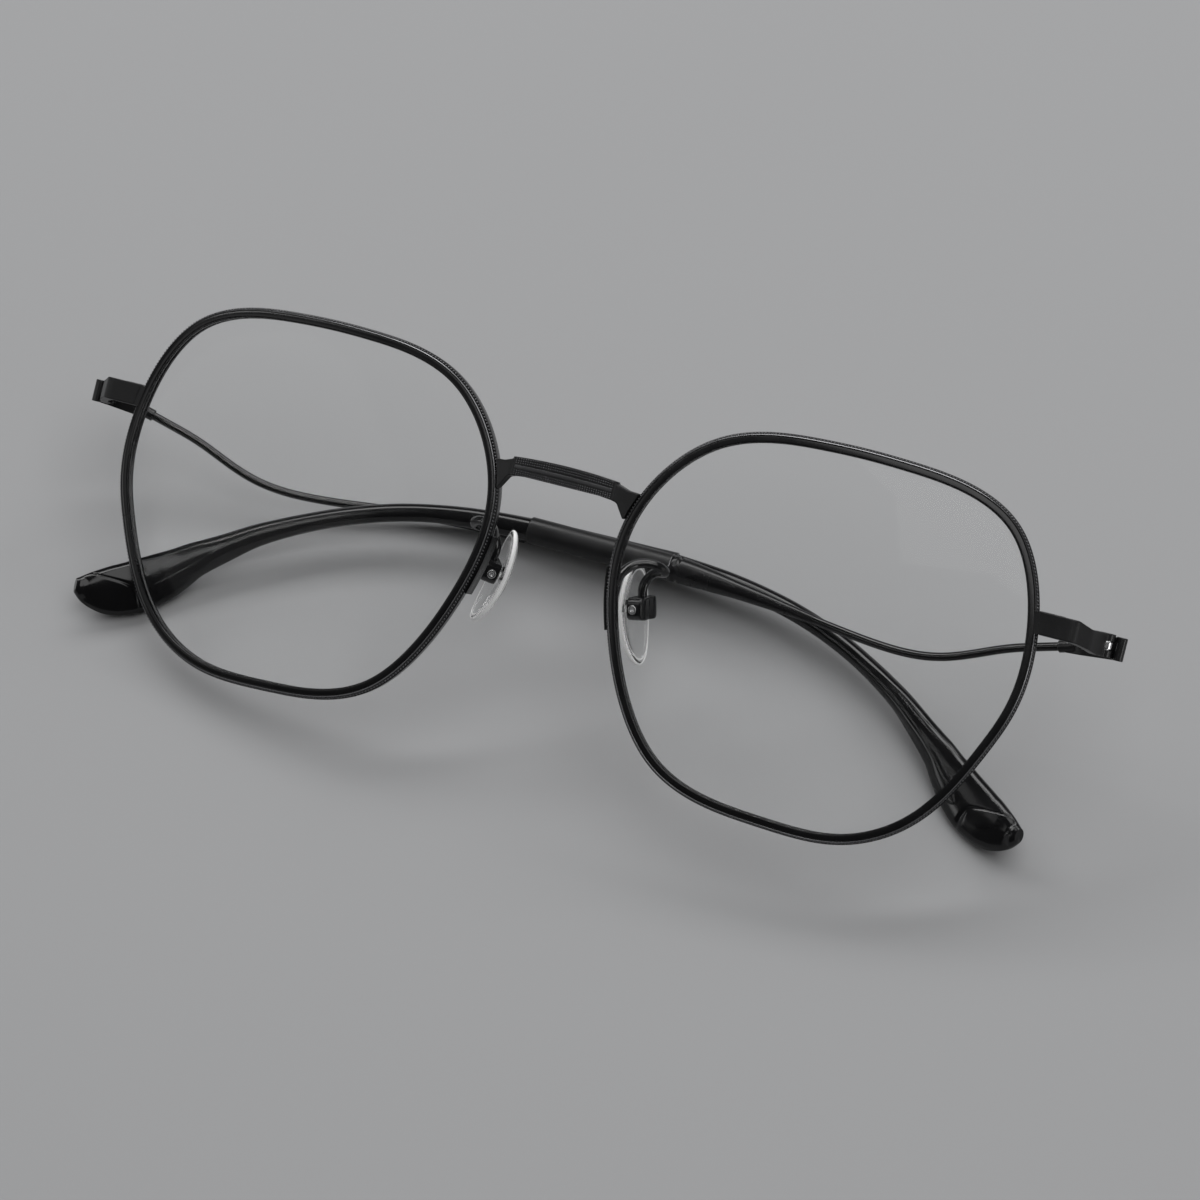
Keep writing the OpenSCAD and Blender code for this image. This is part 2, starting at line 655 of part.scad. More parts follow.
// Each station holds its place, its width and thickness, and how far it is raised.
function tip_rings() =
    let(sides = 16, begin = sleeve_at + sleeve_l, end = temple_reach, slim = tip_d - 0.65,
        neck = end - paddle_l - begin,
        profile = [[begin, tip_d, tip_d, 0], [begin + 0.31 * neck, tip_d - 0.3, tip_d - 0.3, 0],
               [begin + 0.67 * neck, slim, slim + 0.2, 0], [end - paddle_l, slim, tip_t - 0.2, 0],
               [end - 0.82 * paddle_l, slim + 0.05, tip_t - 0.1, 0.05],
               [end - 0.7 * paddle_l, slim + 0.25, tip_t, 0.15], [end - 0.61 * paddle_l, slim + 0.55, tip_t, 0.25],
               [end - 0.51 * paddle_l, 0.52 * tip_w, tip_t, 0.12],
               [end - 0.42 * paddle_l, 0.64 * tip_w, tip_t, 0.05],
               [end - 0.35 * paddle_l, 0.8 * tip_w, tip_t, -0.06 * tip_w],
               [end - 0.28 * paddle_l, 0.94 * tip_w, tip_t, -0.12 * tip_w],
               [end - 0.21 * paddle_l, tip_w, tip_t, -0.16 * tip_w],
               [end - 0.15 * paddle_l, 0.97 * tip_w, tip_t, -0.17 * tip_w],
               [end - 0.1 * paddle_l, 0.86 * tip_w, tip_t - 0.1, -0.16 * tip_w],
               [end - 0.064 * paddle_l, 0.7 * tip_w, tip_t - 0.3, -0.13 * tip_w],
               [end - 0.033 * paddle_l, 0.49 * tip_w, tip_t - 0.7, -0.09 * tip_w],
               [end - 0.012 * paddle_l, 0.28 * tip_w, tip_t - 1.4, -0.04 * tip_w]])
    [for (p = profile) temple_ring(p[0], p[1], p[2], sides, 2 + 0.5 * (p[1] - slim) / tip_w, p[3])];

module temple_tip(fold) {
    bore = wire_d + 0.16;
    begin = sleeve_at + sleeve_l;
    depth = wire_end + 0.4;
    inside = concat([begin], [for (s = wire_stations) if (s > begin + 0.5) s], [depth]);
    n = len(inside);
    inner = [for (k = [n - 1:-1:0]) temple_ring(inside[k], bore, bore, len(tip_outer[0]))];
    color(black_gloss) on_temple(fold)
        skin(concat(inner, tip_outer), temple_mid(depth), temple_mid(temple_reach));
}

// Nose pads: each rocks on a screw in a box, which a bent wire arm carries

pad_place = [nose_gap / 2 + 2.6, -1.85, -10.1];
function pad_turn(side) = [9, side == LEFT ? -left_pad_turn : -right_pad_turn, 10.6];
screw_off = -0.1;
stem_d = 1.2;

function turn_x(p, a) = [p[0], p[1] * cos(a) - p[2] * sin(a), p[1] * sin(a) + p[2] * cos(a)];
function turn_y(p, a) = [p[0] * cos(a) + p[2] * sin(a), p[1], p[2] * cos(a) - p[0] * sin(a)];
function turn_z(p, a) = [p[0] * cos(a) - p[1] * sin(a), p[0] * sin(a) + p[1] * cos(a), p[2]];
function turn_all(p, r) = turn_z(turn_y(turn_x(p, r[0]), r[1]), r[2]);

// The middle of the rim's back edge, level with the middle of the lens
rim_back = turn_y(beside_rim(nose_turn_at(0), -rim_face / 2, rim_depth), wrap) + [lens_x(), 0, 0];
arm_start = rim_back + [0, 0, -0.2 - arm_d / 2];
function arm_route(side) =
    let(box_top = pad_place + turn_all([0, box_h / 2 + 0.02, 0], pad_turn(side)),
        box_up = turn_all([0, 1, 0], pad_turn(side)))
    concat([arm_start - [0, 1, 0], arm_start + [0, 0.2, 0]],
        [for (p = arm_bend) [nose_gap / 2 + p[0] + 0.4, p[1], p[2]]], [box_top + 1.3 * box_up, box_top]);

// Where the outer edge passes a given height on the nose side
function nose_turn_at(y, low = 5, high = 6.5, left = 24) =
    let(mid = (low + high) / 2)
    left == 0 ? mid :
    rim_point(mid)[1] > y ? nose_turn_at(y, mid, high, left - 1) : nose_turn_at(y, low, mid, left - 1);

module at_pad(side) {
    translate(pad_place) rotate(pad_turn(side)) children();
}

// A foot on the rim's nose side, and the wire that leaves it
module pad_arm(side) {
    route = arm_route(side);
    sides = 10;
    behind = rim_depth + 0.01;
    foot = [for (i = [44:48]) i / rim_steps];
    foot_section = [[0, 0.5], [0, behind], [-rim_face / 2 - 0.2, behind],
                    [-rim_face / 2 - 0.2, behind + 0.3], [0.33, behind + 0.3], [0.3, 0.6]];
    foot_rings = [for (t = foot) [for (s = foot_section) beside_rim(t, s[0], s[1])]];
    last = len(route) - 1;
    steps = 22;
    color(black_rim) {
        at_lens() skin(foot_rings, beside_rim(foot[0], 0.15, behind + 0.1),
            beside_rim(foot[len(foot) - 1], 0.15, behind + 0.1));
        skin([for (k = [0:steps]) round_ring(route, last * k / steps, arm_d, sides)], route[0], route[last]);
    }
}

function round_ring(cage, t, d, sides) =
    let(mid = open_point(cage, t), way = open_tangent(cage, t),
        side = unit([1, 0, 0] - way[0] * way), up = cross(side, way))
    [for (k = [0:sides - 1]) mid + d / 2 * (cos(360 * k / sides) * side + sin(360 * k / sides) * up)];

module pad_box(side) {
    half_w = box_w / 2;
    half_h = box_h / 2;
    half_l = box_l / 2;
    inside = half_l - box_wall;
    depth = stem_d / 2 - screw_off + 0.06;
    swell_r = half_l * 0.55;
    color(black_gloss) at_pad(side) difference() {
        intersection() {
            crosswise(rounded([[-half_l, -half_h, half_h - 0.5], [half_l, -half_h, 0.85],
                [half_l, half_h, 0.85], [-half_l, half_h, half_h - 0.5]], 6), -half_w, half_w);
            standing(rounded([[-half_w, -half_l, 0.3], [half_w - 0.3, -half_l, 0.6],
                [half_w, -half_l / 2, 1.2], [half_w - 0.22, -0.1, 0], [half_w, half_l / 2, 1.2],
                [half_w - 0.1, half_l, 0.3], [-half_w, half_l, 0.1]]), -half_h, half_h);
        }
        translate([-half_w - 1, -half_h + box_wall, -inside]) cube([half_w + 1 + depth + screw_off, box_h - 2 * box_wall, 2 * inside]);
        translate([screw_off, 0, -half_l - 1]) cylinder(d = pad_screw_d + 2 * thread_play, h = box_l + 2, $fn = 24);
    }
}

module pad_screw(side) {
    head_d = 1.15;
    color(steel) at_pad(side) translate([screw_off, 0, 0]) difference() {
        union() {
            translate([0, 0, -box_l / 2]) cylinder(d = pad_screw_d, h = box_l, $fn = 24);
            translate([0, 0, box_l / 2]) cylinder(d = head_d, h = 0.25, $fn = 32);
        }
        translate([0, 0, box_l / 2 - 0.1]) cylinder(d = 0.5, h = 1, $fn = 24);
    }
}

// A crowned clear plate with a stem whose eye turns on the screw
module nose_pad(side) {
    sides = 28;
    near = -box_w / 2 - 0.55;
    edge = [[0.62, 0], [0.94, 0], [1, -0.35], [0.97, -0.75], [0.8, -1.15], [0.5, -1.42]];
    stem_l = box_l - 2 * box_wall - 2 * stem_play;
    module plate() {
        rings = [for (e = edge) [for (k = [0:sides - 1])
            let(y = pad_h / 2 * e[0] * cos(360 * k / sides), z = pad_w / 2 * e[0] * sin(360 * k / sides))
            [pad_bend(y) + e[1] * pad_t / 1.5, y, z]]];
        skin(rings, [0, 0, 0], [-pad_t, 0, 0]);
    }
    color(clear) at_pad(side) difference() {
        union() {
            translate([near, -1, -1.2]) plate();
            translate([screw_off, 0, -stem_l / 2]) cylinder(d = stem_d, h = stem_l, $fn = 32);
            translate([near - 0.5, -0.42, -stem_l / 2]) cube([screw_off - near + 0.5, 0.84, stem_l]);
        }
        translate([screw_off, 0, -box_l]) cylinder(d = pad_screw_d + 2 * screw_play, h = 2 * box_l, $fn = 24);
    }
}

function pad_bend(y) = pad_crown * pow(y / (pad_h / 2), 2);

// Lie on the table

// The folded glasses rest on both tips and on the left sleeve, which is the
// lower one. Each round of the search takes the lowest points of the three
// and turns the table's plane to pass through them.

function placed(p, side, fold) =
    let(q = turn_y(p, -fold) + [hinge_x(), hinge_y, hinge_z])
    [side * q[0], q[1], q[2]];

function lowest(points, down) =
    let(depths = points * down, deepest = max(depths))
    [for (i = [0:len(points) - 1]) if (depths[i] == deepest) points[i]][0];

sleeve_ends = [for (k = [0, 1], a = [0:7.5:352.5])
    let(t = temple_turn_at(sleeve_at + k * sleeve_l), way = open_tangent(temple_cage, t),
        up = unit([0, 0, 1] - way[2] * way), across = cross(way, up))
    to_space(open_point(temple_cage, t) + sleeve_d / 2 * (cos(a) * up + sin(a) * across))];
tip_points = [for (r = tip_outer) each r];
rest_parts = [[for (p = tip_points) placed(p, RIGHT, right_fold)],
              [for (p = sleeve_ends) placed(p, LEFT, left_fold)],
              [for (p = tip_points) placed(p, LEFT, left_fold)]];

function table_below(down, rounds) =
    rounds == 0 ? down :
    let(p = [for (part = rest_parts) lowest(part, down)], n = unit(cross(p[1] - p[0], p[2] - p[0])))
    table_below(n * down > 0 ? n : -n, rounds - 1);

first_guess = unit([0, -sin(33), -cos(33)]);
down = table_below(first_guess, 8);
lay_pitch = atan2(-down[1], -down[2]);
lay_roll = asin(down[0]);
lay_height = lowest(rest_parts[0], down) * down;

// Shift that brings the middle of the whole over the origin
lay_x = -0.28;
lay_y = -1.57;

module laid() {
    translate([lay_x, lay_y, lay_height]) rotate([lay_pitch, lay_roll, 0]) children();
}

sided(LEFT) rim();  // rim_left
sided(RIGHT) rim();  // rim_right
sided(LEFT) lens();  // lens_left
sided(RIGHT) lens();  // lens_right
bridge();
sided(LEFT) end_piece();  // end_piece_left
sided(RIGHT) end_piece();  // end_piece_right
sided(LEFT) rim_lock();  // rim_lock_left
sided(RIGHT) rim_lock();  // rim_lock_right
sided(LEFT) lock_screw();  // lock_screw_left
sided(RIGHT) lock_screw();  // lock_screw_right
sided(LEFT) front_hinge();  // front_hinge_left
sided(RIGHT) front_hinge();  // front_hinge_right
sided(LEFT) hinge_screw();  // hinge_screw_left
sided(RIGHT) hinge_screw();  // hinge_screw_right
sided(LEFT) hinge_barrel(left_fold);  // hinge_barrel_left
sided(RIGHT) hinge_barrel(right_fold);  // hinge_barrel_right
sided(LEFT) temple_leaf(left_fold);  // temple_leaf_left
sided(RIGHT) temple_leaf(right_fold);  // temple_leaf_right
sided(LEFT) temple_wire(left_fold);  // temple_wire_left
sided(RIGHT) temple_wire(right_fold);  // temple_wire_right
sided(LEFT) temple_cone(left_fold);  // temple_cone_left
sided(RIGHT) temple_cone(right_fold);  // temple_cone_right
sided(LEFT) temple_sleeve(left_fold);  // temple_sleeve_left
sided(RIGHT) temple_sleeve(right_fold);  // temple_sleeve_right
sided(LEFT) temple_tip(left_fold);  // temple_tip_left
sided(RIGHT) temple_tip(right_fold);  // temple_tip_right
sided(LEFT) pad_arm(LEFT);  // pad_arm_left
sided(RIGHT) pad_arm(RIGHT);  // pad_arm_right
sided(LEFT) pad_box(LEFT);  // pad_box_left
sided(RIGHT) pad_box(RIGHT);  // pad_box_right
sided(LEFT) pad_screw(LEFT);  // pad_screw_left
sided(RIGHT) pad_screw(RIGHT);  // pad_screw_right
sided(LEFT) nose_pad(LEFT);  // nose_pad_left
sided(RIGHT) nose_pad(RIGHT);  // nose_pad_right
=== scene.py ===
# %% [markdown]
# # Many-sided metal eyeglasses, folded on a table
#
# The frame is a pair of thin grooved rims, a flat bridge, clear pads on bent
# wires and two folding temples with glossy tips. The solid model gives every
# place and every joint. Here each piece gets its real surface: rolled edges,
# a beaded pattern, turned rings, lacquer, steel and clear plastic.

# %% Load the solid model
import json
import math

import bmesh
import bpy
from mathutils import Matrix, Vector


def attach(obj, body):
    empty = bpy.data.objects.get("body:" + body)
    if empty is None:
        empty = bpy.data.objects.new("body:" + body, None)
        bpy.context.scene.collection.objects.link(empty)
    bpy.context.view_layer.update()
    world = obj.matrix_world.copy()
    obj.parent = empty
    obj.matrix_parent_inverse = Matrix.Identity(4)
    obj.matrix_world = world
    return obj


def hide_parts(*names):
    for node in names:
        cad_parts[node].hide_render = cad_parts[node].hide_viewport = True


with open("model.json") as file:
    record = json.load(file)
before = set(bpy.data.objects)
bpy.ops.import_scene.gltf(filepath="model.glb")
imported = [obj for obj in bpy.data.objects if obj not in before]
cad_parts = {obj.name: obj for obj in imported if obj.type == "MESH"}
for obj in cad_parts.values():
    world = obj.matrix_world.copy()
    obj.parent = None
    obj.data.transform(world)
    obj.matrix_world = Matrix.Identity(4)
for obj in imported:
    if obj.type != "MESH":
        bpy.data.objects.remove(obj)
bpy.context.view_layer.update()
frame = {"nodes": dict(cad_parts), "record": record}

MM = 0.001
SIDES = {"left": -1, "right": 1}

# %% [markdown]
# ## The front's own frame
#
# Glasses are easiest to think of as they are worn: X across the front, Y up and
# Z out of the lenses. Folded on a table they lie turned and tipped. The two
# temple hinges of the solid model show how: the line between them is X, their
# pins are Y. One matrix then takes millimetres on the front to metres on the
# table, so no piece below has to know about the tilt.

# %% Find the front's frame from the two hinges
hinge_y = 7.9             # the pins' middle above the lens middles
hinge_z = -11.3962        # and behind the rims' front
hinge_span = 136.1

joints = {j["name"]: j for j in frame["record"]["behaviour"]["joints"]}
pin_left = Vector(joints["temple_left_hinge"]["pos_m"])
pin_right = Vector(joints["temple_right_hinge"]["pos_m"])
front_x = (pin_right - pin_left).normalized()
front_y = Vector(joints["temple_left_hinge"]["axis"]).normalized()
front_z = front_x.cross(front_y).normalized()
axes = Matrix((front_x, front_y, front_z)).transposed()
front_origin = (pin_left + pin_right) / 2 - axes @ Vector((0, hinge_y, hinge_z)) * MM
FRONT = Matrix.Translation(front_origin) @ axes.to_4x4() @ Matrix.Scale(MM, 4)
print("hinges", round((pin_right - pin_left).length / MM, 2), "mm apart")
print("front tipped", round(math.degrees(math.acos(front_z.z)), 1), "degrees from lying flat")


def on_side(side):
    """Front frame for the right side, mirrored for the left."""
    return FRONT @ Matrix.Diagonal((SIDES[side], 1, 1, 1))


fold_angle = {"left": 1.9, "right": -1.2}


def on_temple(side):
    """Temple frame: hinge axis at the origin, the folded temple along -X."""
    hinge = Matrix.Translation((hinge_span / 2, hinge_y, hinge_z))
    return on_side(side) @ hinge @ Matrix.Rotation(math.radians(-fold_angle[side]), 4, "Y")


# %% [markdown]
# ## Small tools for meshes
#
# Most pieces of a wire frame are a section carried along a path. A list of
# rings, each a closed loop of points, is enough to describe one, and a helper
# turns it into faces and closes its ends. Every mesh is then set in place by a
# matrix and its faces are turned outwards.

# %% Helpers that build and place meshes
def place_piece(name, mesh, matrix, materials, body, stands_for=(), flat_above=35):
    mesh.transform(matrix)
    bm = bmesh.new()
    bm.from_mesh(mesh)
    bmesh.ops.remove_doubles(bm, verts=bm.verts, dist=1e-7)
    bmesh.ops.recalc_face_normals(bm, faces=bm.faces)
    if bm.calc_volume(signed=True) < 0:
        bmesh.ops.reverse_faces(bm, faces=bm.faces)
    for edge in bm.edges:
        edge.smooth = len(edge.link_faces) == 2 and edge.calc_face_angle(0) < math.radians(flat_above)
    bm.to_mesh(mesh)
    bm.free()
    mesh.shade_smooth()
    for material in materials:
        mesh.materials.append(material)
    piece = bpy.data.objects.new(name, mesh)
    bpy.context.scene.collection.objects.link(piece)
    if stands_for:
        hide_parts(*stands_for)
    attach(piece, body)
    return piece


def skin(rings, cap=True, loop=False, slots=None, ring_slots=None):
    """Faces over rings of points. slots is per lengthwise strip, ring_slots per ring."""
    n = len(rings[0])
    points = [p for ring in rings for p in ring]
    faces, strip = [], []
    count = len(rings) if loop else len(rings) - 1
    for i in range(count):
        a, b = i * n, ((i + 1) % len(rings)) * n
        for j in range(n):
            k = (j + 1) % n
            faces.append((a + j, a + k, b + k, b + j))
            strip.append(slots[j] if slots else ring_slots[i] if ring_slots else 0)
    if cap and not loop:
        for ring, turn in ((0, True), (len(rings) - 1, False)):
            centre = sum((Vector(p) for p in rings[ring]), Vector()) / n
            points.append(centre)
            tip = len(points) - 1
            for j in range(n):
                k = (j + 1) % n
                faces.append((tip, ring * n + k, ring * n + j) if turn else (tip, ring * n + j, ring * n + k))
                strip.append(0)
    mesh = bpy.data.meshes.new("skin")
    mesh.from_pydata([tuple(p) for p in points], [], faces)
    for polygon, index in zip(mesh.polygons, strip):
        polygon.material_index = index
    return mesh


def mark(mesh, name, values):
    """Keeps one number per point, for a material to read by name."""
    layer = mesh.attributes.new(name, "FLOAT", "POINT")
    for i, value in enumerate(values):
        layer.data[i].value = value


def weights(u):
    """Shares of four neighbouring cage points on a uniform cubic B-spline."""
    return ((1 - u) ** 3 / 6, (3 * u**3 - 6 * u * u + 4) / 6,
            (-3 * u**3 + 3 * u * u + 3 * u + 1) / 6, u**3 / 6)


def closed_point(cage, t):
    """Point on a closed uniform cubic B-spline."""
    i = math.floor(t)
    return sum((w * cage[(i + k - 1) % len(cage)] for k, w in enumerate(weights(t - i))), cage[0] * 0)


def open_point(cage, t):
    """Point on an open B-spline that starts and ends at its cage's end points."""
    last = len(cage) - 1
    i = max(0, min(math.floor(t), last - 1))

    def at(k):
        return 2 * cage[0] - cage[1] if k < 0 else 2 * cage[last] - cage[last - 1] if k > last else cage[k]

    return sum((w * at(i + k - 1) for k, w in enumerate(weights(t - i))), cage[0] * 0)


def open_tangent(cage, t):
    """Direction of the open spline at t."""
    a, b = max(t - 0.01, 0), min(t + 0.01, len(cage) - 1)
    return (open_point(cage, b) - open_point(cage, a)).normalized()


# %% [markdown]
# ## Finishes
#
# The metal is lacquered black. Lacquer is never a perfect mirror: it has a faint
# orange-peel wave and its gloss varies a little from place to place. Each black
# differs only in how far it was polished, so one recipe with a few numbers
# makes them all. Noise on Object coordinates keeps the pattern in place when a
# temple folds.

# %% Lacquered metal and moulded plastic
def shader_of(name):
    """A new material with its nodes, its links and its main shader."""
    material = bpy.data.materials.new(name)
    material.use_nodes = True
    nodes, links = material.node_tree.nodes, material.node_tree.links
    return material, nodes, links, nodes["Principled BSDF"]


def lacquer(name, colour, rough, spread, wave, wave_size, metallic=0.0, coat=0.0, shine=0.5):
    """Black lacquer: colour and gloss vary a little, and the surface waves."""
    material, nodes, links, shader = shader_of(name)
    shader.inputs["Metallic"].default_value = metallic
    shader.inputs["Specular IOR Level"].default_value = shine
    shader.inputs["Coat Weight"].default_value = coat
    shader.inputs["Coat Roughness"].default_value = 0.12
    place = nodes.new("ShaderNodeTexCoord")
    cloud = nodes.new("ShaderNodeTexNoise")
    cloud.inputs["Scale"].default_value = 260
    cloud.inputs["Detail"].default_value = 4
    links.new(place.outputs["Object"], cloud.inputs["Vector"])
    tint = nodes.new("ShaderNodeMix")
    tint.data_type = "RGBA"
    tint.inputs["A"].default_value = (*[c * 0.82 for c in colour], 1)
    tint.inputs["B"].default_value = (*[c * 1.18 for c in colour], 1)
    links.new(cloud.outputs["Fac"], tint.inputs["Factor"])
    links.new(tint.outputs["Result"], shader.inputs["Base Color"])
    gloss = nodes.new("ShaderNodeMapRange")
    gloss.inputs["From Min"].default_value = 0.3
    gloss.inputs["From Max"].default_value = 0.7
    gloss.inputs["To Min"].default_value = rough - spread
    gloss.inputs["To Max"].default_value = rough + spread
    links.new(cloud.outputs["Fac"], gloss.inputs["Value"])
    links.new(gloss.outputs["Result"], shader.inputs["Roughness"])
    peel = nodes.new("ShaderNodeTexNoise")
    peel.inputs["Scale"].default_value = wave_size
    peel.inputs["Detail"].default_value = 3
    links.new(place.outputs["Object"], peel.inputs["Vector"])
    bump = nodes.new("ShaderNodeBump")
    bump.inputs["Strength"].default_value = wave
    bump.inputs["Distance"].default_value = 0.00004
    links.new(peel.outputs["Fac"], bump.inputs["Height"])
    links.new(bump.outputs["Normal"], shader.inputs["Normal"])
    return material


rim_black = lacquer("rim_black", (0.005, 0.005, 0.0055), 0.26, 0.05, 0.14, 2600, coat=0.1, shine=0.3)
edge_polish = lacquer("edge_polish", (0.15, 0.15, 0.155), 0.26, 0.05, 0.1, 3000, metallic=0.85)
satin_black = lacquer("satin_black", (0.01, 0.01, 0.0105), 0.36, 0.06, 0.35, 5200, shine=0.28)
band_black = lacquer("band_black", (0.11, 0.11, 0.115), 0.28, 0.05, 0.1, 4000, metallic=0.75)
hinge_black = lacquer("hinge_black", (0.008, 0.008, 0.0085), 0.28, 0.05, 0.15, 3000, coat=0.1, shine=0.35)
wire_black = lacquer("wire_black", (0.005, 0.005, 0.0055), 0.16, 0.04, 0.06, 2000, coat=0.1, shine=0.45)
tip_black = lacquer("tip_black", (0.004, 0.004, 0.0045), 0.16, 0.03, 0.03, 900, shine=0.36)
finishes = (rim_black, edge_polish, satin_black, band_black, hinge_black, wire_black, tip_black)
print("finishes:", ", ".join(material.name for material in finishes))

# %% [markdown]
# Steel shows on the middle knuckle and in the screws. Turning leaves fine rings,
# so the roughness gets a streaky noise squeezed along one axis.

# %% Turned steel
def turned_steel(name, colour, rough):
    """Bright steel with fine turning marks."""
    material, nodes, links, shader = shader_of(name)
    shader.inputs["Metallic"].default_value = 1.0
    place = nodes.new("ShaderNodeTexCoord")
    squeeze = nodes.new("ShaderNodeMapping")
    squeeze.inputs["Scale"].default_value = (900, 6000, 6000)
    links.new(place.outputs["Object"], squeeze.inputs["Vector"])
    streak = nodes.new("ShaderNodeTexNoise")
    streak.inputs["Scale"].default_value = 1
    streak.inputs["Detail"].default_value = 3
    links.new(squeeze.outputs["Vector"], streak.inputs["Vector"])
    tone = nodes.new("ShaderNodeMix")
    tone.data_type = "RGBA"
    tone.inputs["A"].default_value = (*[c * 0.85 for c in colour], 1)
    tone.inputs["B"].default_value = (*colour, 1)
    links.new(streak.outputs["Fac"], tone.inputs["Factor"])
    links.new(tone.outputs["Result"], shader.inputs["Base Color"])
    gloss = nodes.new("ShaderNodeMapRange")
    gloss.inputs["To Min"].default_value = rough * 0.6
    gloss.inputs["To Max"].default_value = rough * 1.5
    links.new(streak.outputs["Fac"], gloss.inputs["Value"])
    links.new(gloss.outputs["Result"], shader.inputs["Roughness"])
    bump = nodes.new("ShaderNodeBump")
    bump.inputs["Strength"].default_value = 0.08
    bump.inputs["Distance"].default_value = 0.00002
    links.new(streak.outputs["Fac"], bump.inputs["Height"])
    links.new(bump.outputs["Normal"], shader.inputs["Normal"])
    return material


steel = turned_steel("turned_steel", (0.74, 0.74, 0.75), 0.2)

# %% [markdown]
# The lenses are so clear that only their rim gives them away, and the pads are a
# clear soft plastic that gathers light at its edge. Both are real refracting
# shells. Lamps would throw a dark shadow through them, because the renderer
# traces no focused light well, so light that only passes through to the table
# meets a plain see-through shader. A pad's edge looks nearly white, because light
# caught in the plastic leaves there. That glow is painted in: a number kept on its
# points lowers the clearness towards the edge, so it turns a diffuse white.

# %% Clear lens and clear pad
def clear_shell(name, tint, rough, ior, passes, cloudy, wave, painted_edge_glow=0.0):
    """Clear plastic that lets a lamp's light pass through to the table."""
    material, nodes, links, shader = shader_of(name)
    shader.inputs["IOR"].default_value = ior
    # Painted glow: the edge number lowers the clearness, so the edge turns a diffuse white that stands in for
    # light caught in the plastic.
    edge = nodes.new("ShaderNodeAttribute")
    edge.attribute_name = "edge"
    clearness = nodes.new("ShaderNodeMapRange")
    clearness.inputs["To Min"].default_value = 1.0
    clearness.inputs["To Max"].default_value = 1.0 - painted_edge_glow
    links.new(edge.outputs["Fac"], clearness.inputs["Value"])
    links.new(clearness.outputs["Result"], shader.inputs["Transmission Weight"])
    place = nodes.new("ShaderNodeTexCoord")
    cloud = nodes.new("ShaderNodeTexNoise")
    cloud.inputs["Scale"].default_value = 400
    cloud.inputs["Detail"].default_value = 2
    links.new(place.outputs["Object"], cloud.inputs["Vector"])
    mix = nodes.new("ShaderNodeMix")
    mix.data_type = "RGBA"
    mix.inputs["A"].default_value = (*tint, 1)
    mix.inputs["B"].default_value = (*[c * (1 - cloudy) for c in tint], 1)
    links.new(cloud.outputs["Fac"], mix.inputs["Factor"])
    links.new(mix.outputs["Result"], shader.inputs["Base Color"])
    gloss = nodes.new("ShaderNodeMapRange")
    gloss.inputs["To Min"].default_value = rough * 0.5
    gloss.inputs["To Max"].default_value = rough * 1.5
    links.new(cloud.outputs["Fac"], gloss.inputs["Value"])
    links.new(gloss.outputs["Result"], shader.inputs["Roughness"])
    bump = nodes.new("ShaderNodeBump")
    bump.inputs["Strength"].default_value = wave
    bump.inputs["Distance"].default_value = 0.00002
    links.new(cloud.outputs["Fac"], bump.inputs["Height"])
    links.new(bump.outputs["Normal"], shader.inputs["Normal"])
    through = nodes.new("ShaderNodeBsdfTransparent")
    through.inputs["Color"].default_value = (passes, passes, passes, 1)
    path = nodes.new("ShaderNodeLightPath")
    choose = nodes.new("ShaderNodeMixShader")
    either = nodes.new("ShaderNodeMath")
    either.operation = "MAXIMUM"
    links.new(path.outputs["Is Shadow Ray"], either.inputs[0])
    links.new(path.outputs["Is Diffuse Ray"], either.inputs[1])
    links.new(either.outputs["Value"], choose.inputs["Fac"])
    links.new(shader.outputs["BSDF"], choose.inputs[1])
    links.new(through.outputs["BSDF"], choose.inputs[2])
    links.new(choose.outputs["Shader"], nodes["Material Output"].inputs["Surface"])
    return material


lens_clear = clear_shell("lens_clear", (0.995, 0.998, 0.997), 0.004, 1.12, 0.97, 0.004, 0.0)
# The pad's material paints a white glow on its edge, in place of light caught in the plastic.
pad_clear = clear_shell("pad_clear", (0.985, 0.988, 0.985), 0.03, 1.46, 0.88, 0.02, 0.04, painted_edge_glow=1.0)

# %% [markdown]
# ## Rims
#
# A rim is one wire, rolled to a groove inside for the lens and pressed outside
# with a beaded band between two polished lines. Its outline is a soft twelve
# point cage smoothed by a B-spline: nearly straight sides, round corners. A
# curve with a bevel profile could be swept along it, but would roll the section
# in the corners. Rings placed by a function keep its face to the front, and
# leave the two ends of the wire apart, where the lock is.

# %% Rim outline and section
rim_w, rim_h, nose_gap = 53.5, 48.2, 16.0
rim_face, rim_depth, groove = 1.35, 2.3, 0.48
base_radius, wrap = 200.0, 5.0
strip_y, split_gap = 8.65, 0.004
lens_x = (nose_gap + rim_w) / 2

rim_cage = [Vector(p) for p in (
    (28, 2), (23.5, 22.5), (5, 24), (-3, 24), (-18, 23), (-27.5, 9.5),
    (-26, -4.5), (-17, -23), (-0.5, -24), (9.5, -24.5), (19, -19), (24.5, -7.5))]
TURNS = len(rim_cage)     # the curve parameter goes up by one for each cage point
rough_outline = [closed_point(rim_cage, i / 8) for i in range(TURNS * 8)]
low_x, high_x = min(p.x for p in rough_outline), max(p.x for p in rough_outline)
low_y, high_y = min(p.y for p in rough_outline), max(p.y for p in rough_outline)


def rim_point(t):
    """Point on the outer edge, scaled to the rim's real width and height."""
    p = closed_point(rim_cage, t % TURNS)
    return Vector(((p.x - (low_x + high_x) / 2) * rim_w / (high_x - low_x),
                   (p.y - (low_y + high_y) / 2) * rim_h / (high_y - low_y)))


def sphere_z(p):
    """Height of the lens's base sphere at a point, zero at its middle."""
    return math.sqrt(base_radius**2 - p.x**2 - p.y**2) - base_radius


def beside_rim(t, a, b):
    """A point beside the outer edge: a outwards, b back from its front."""
    p = rim_point(t)
    d = (rim_point(t + 0.01) - rim_point(t - 0.01)).normalized()
    q = p + a * Vector((d.y, -d.x))
    return Vector((q.x, q.y, sphere_z(p) - b))


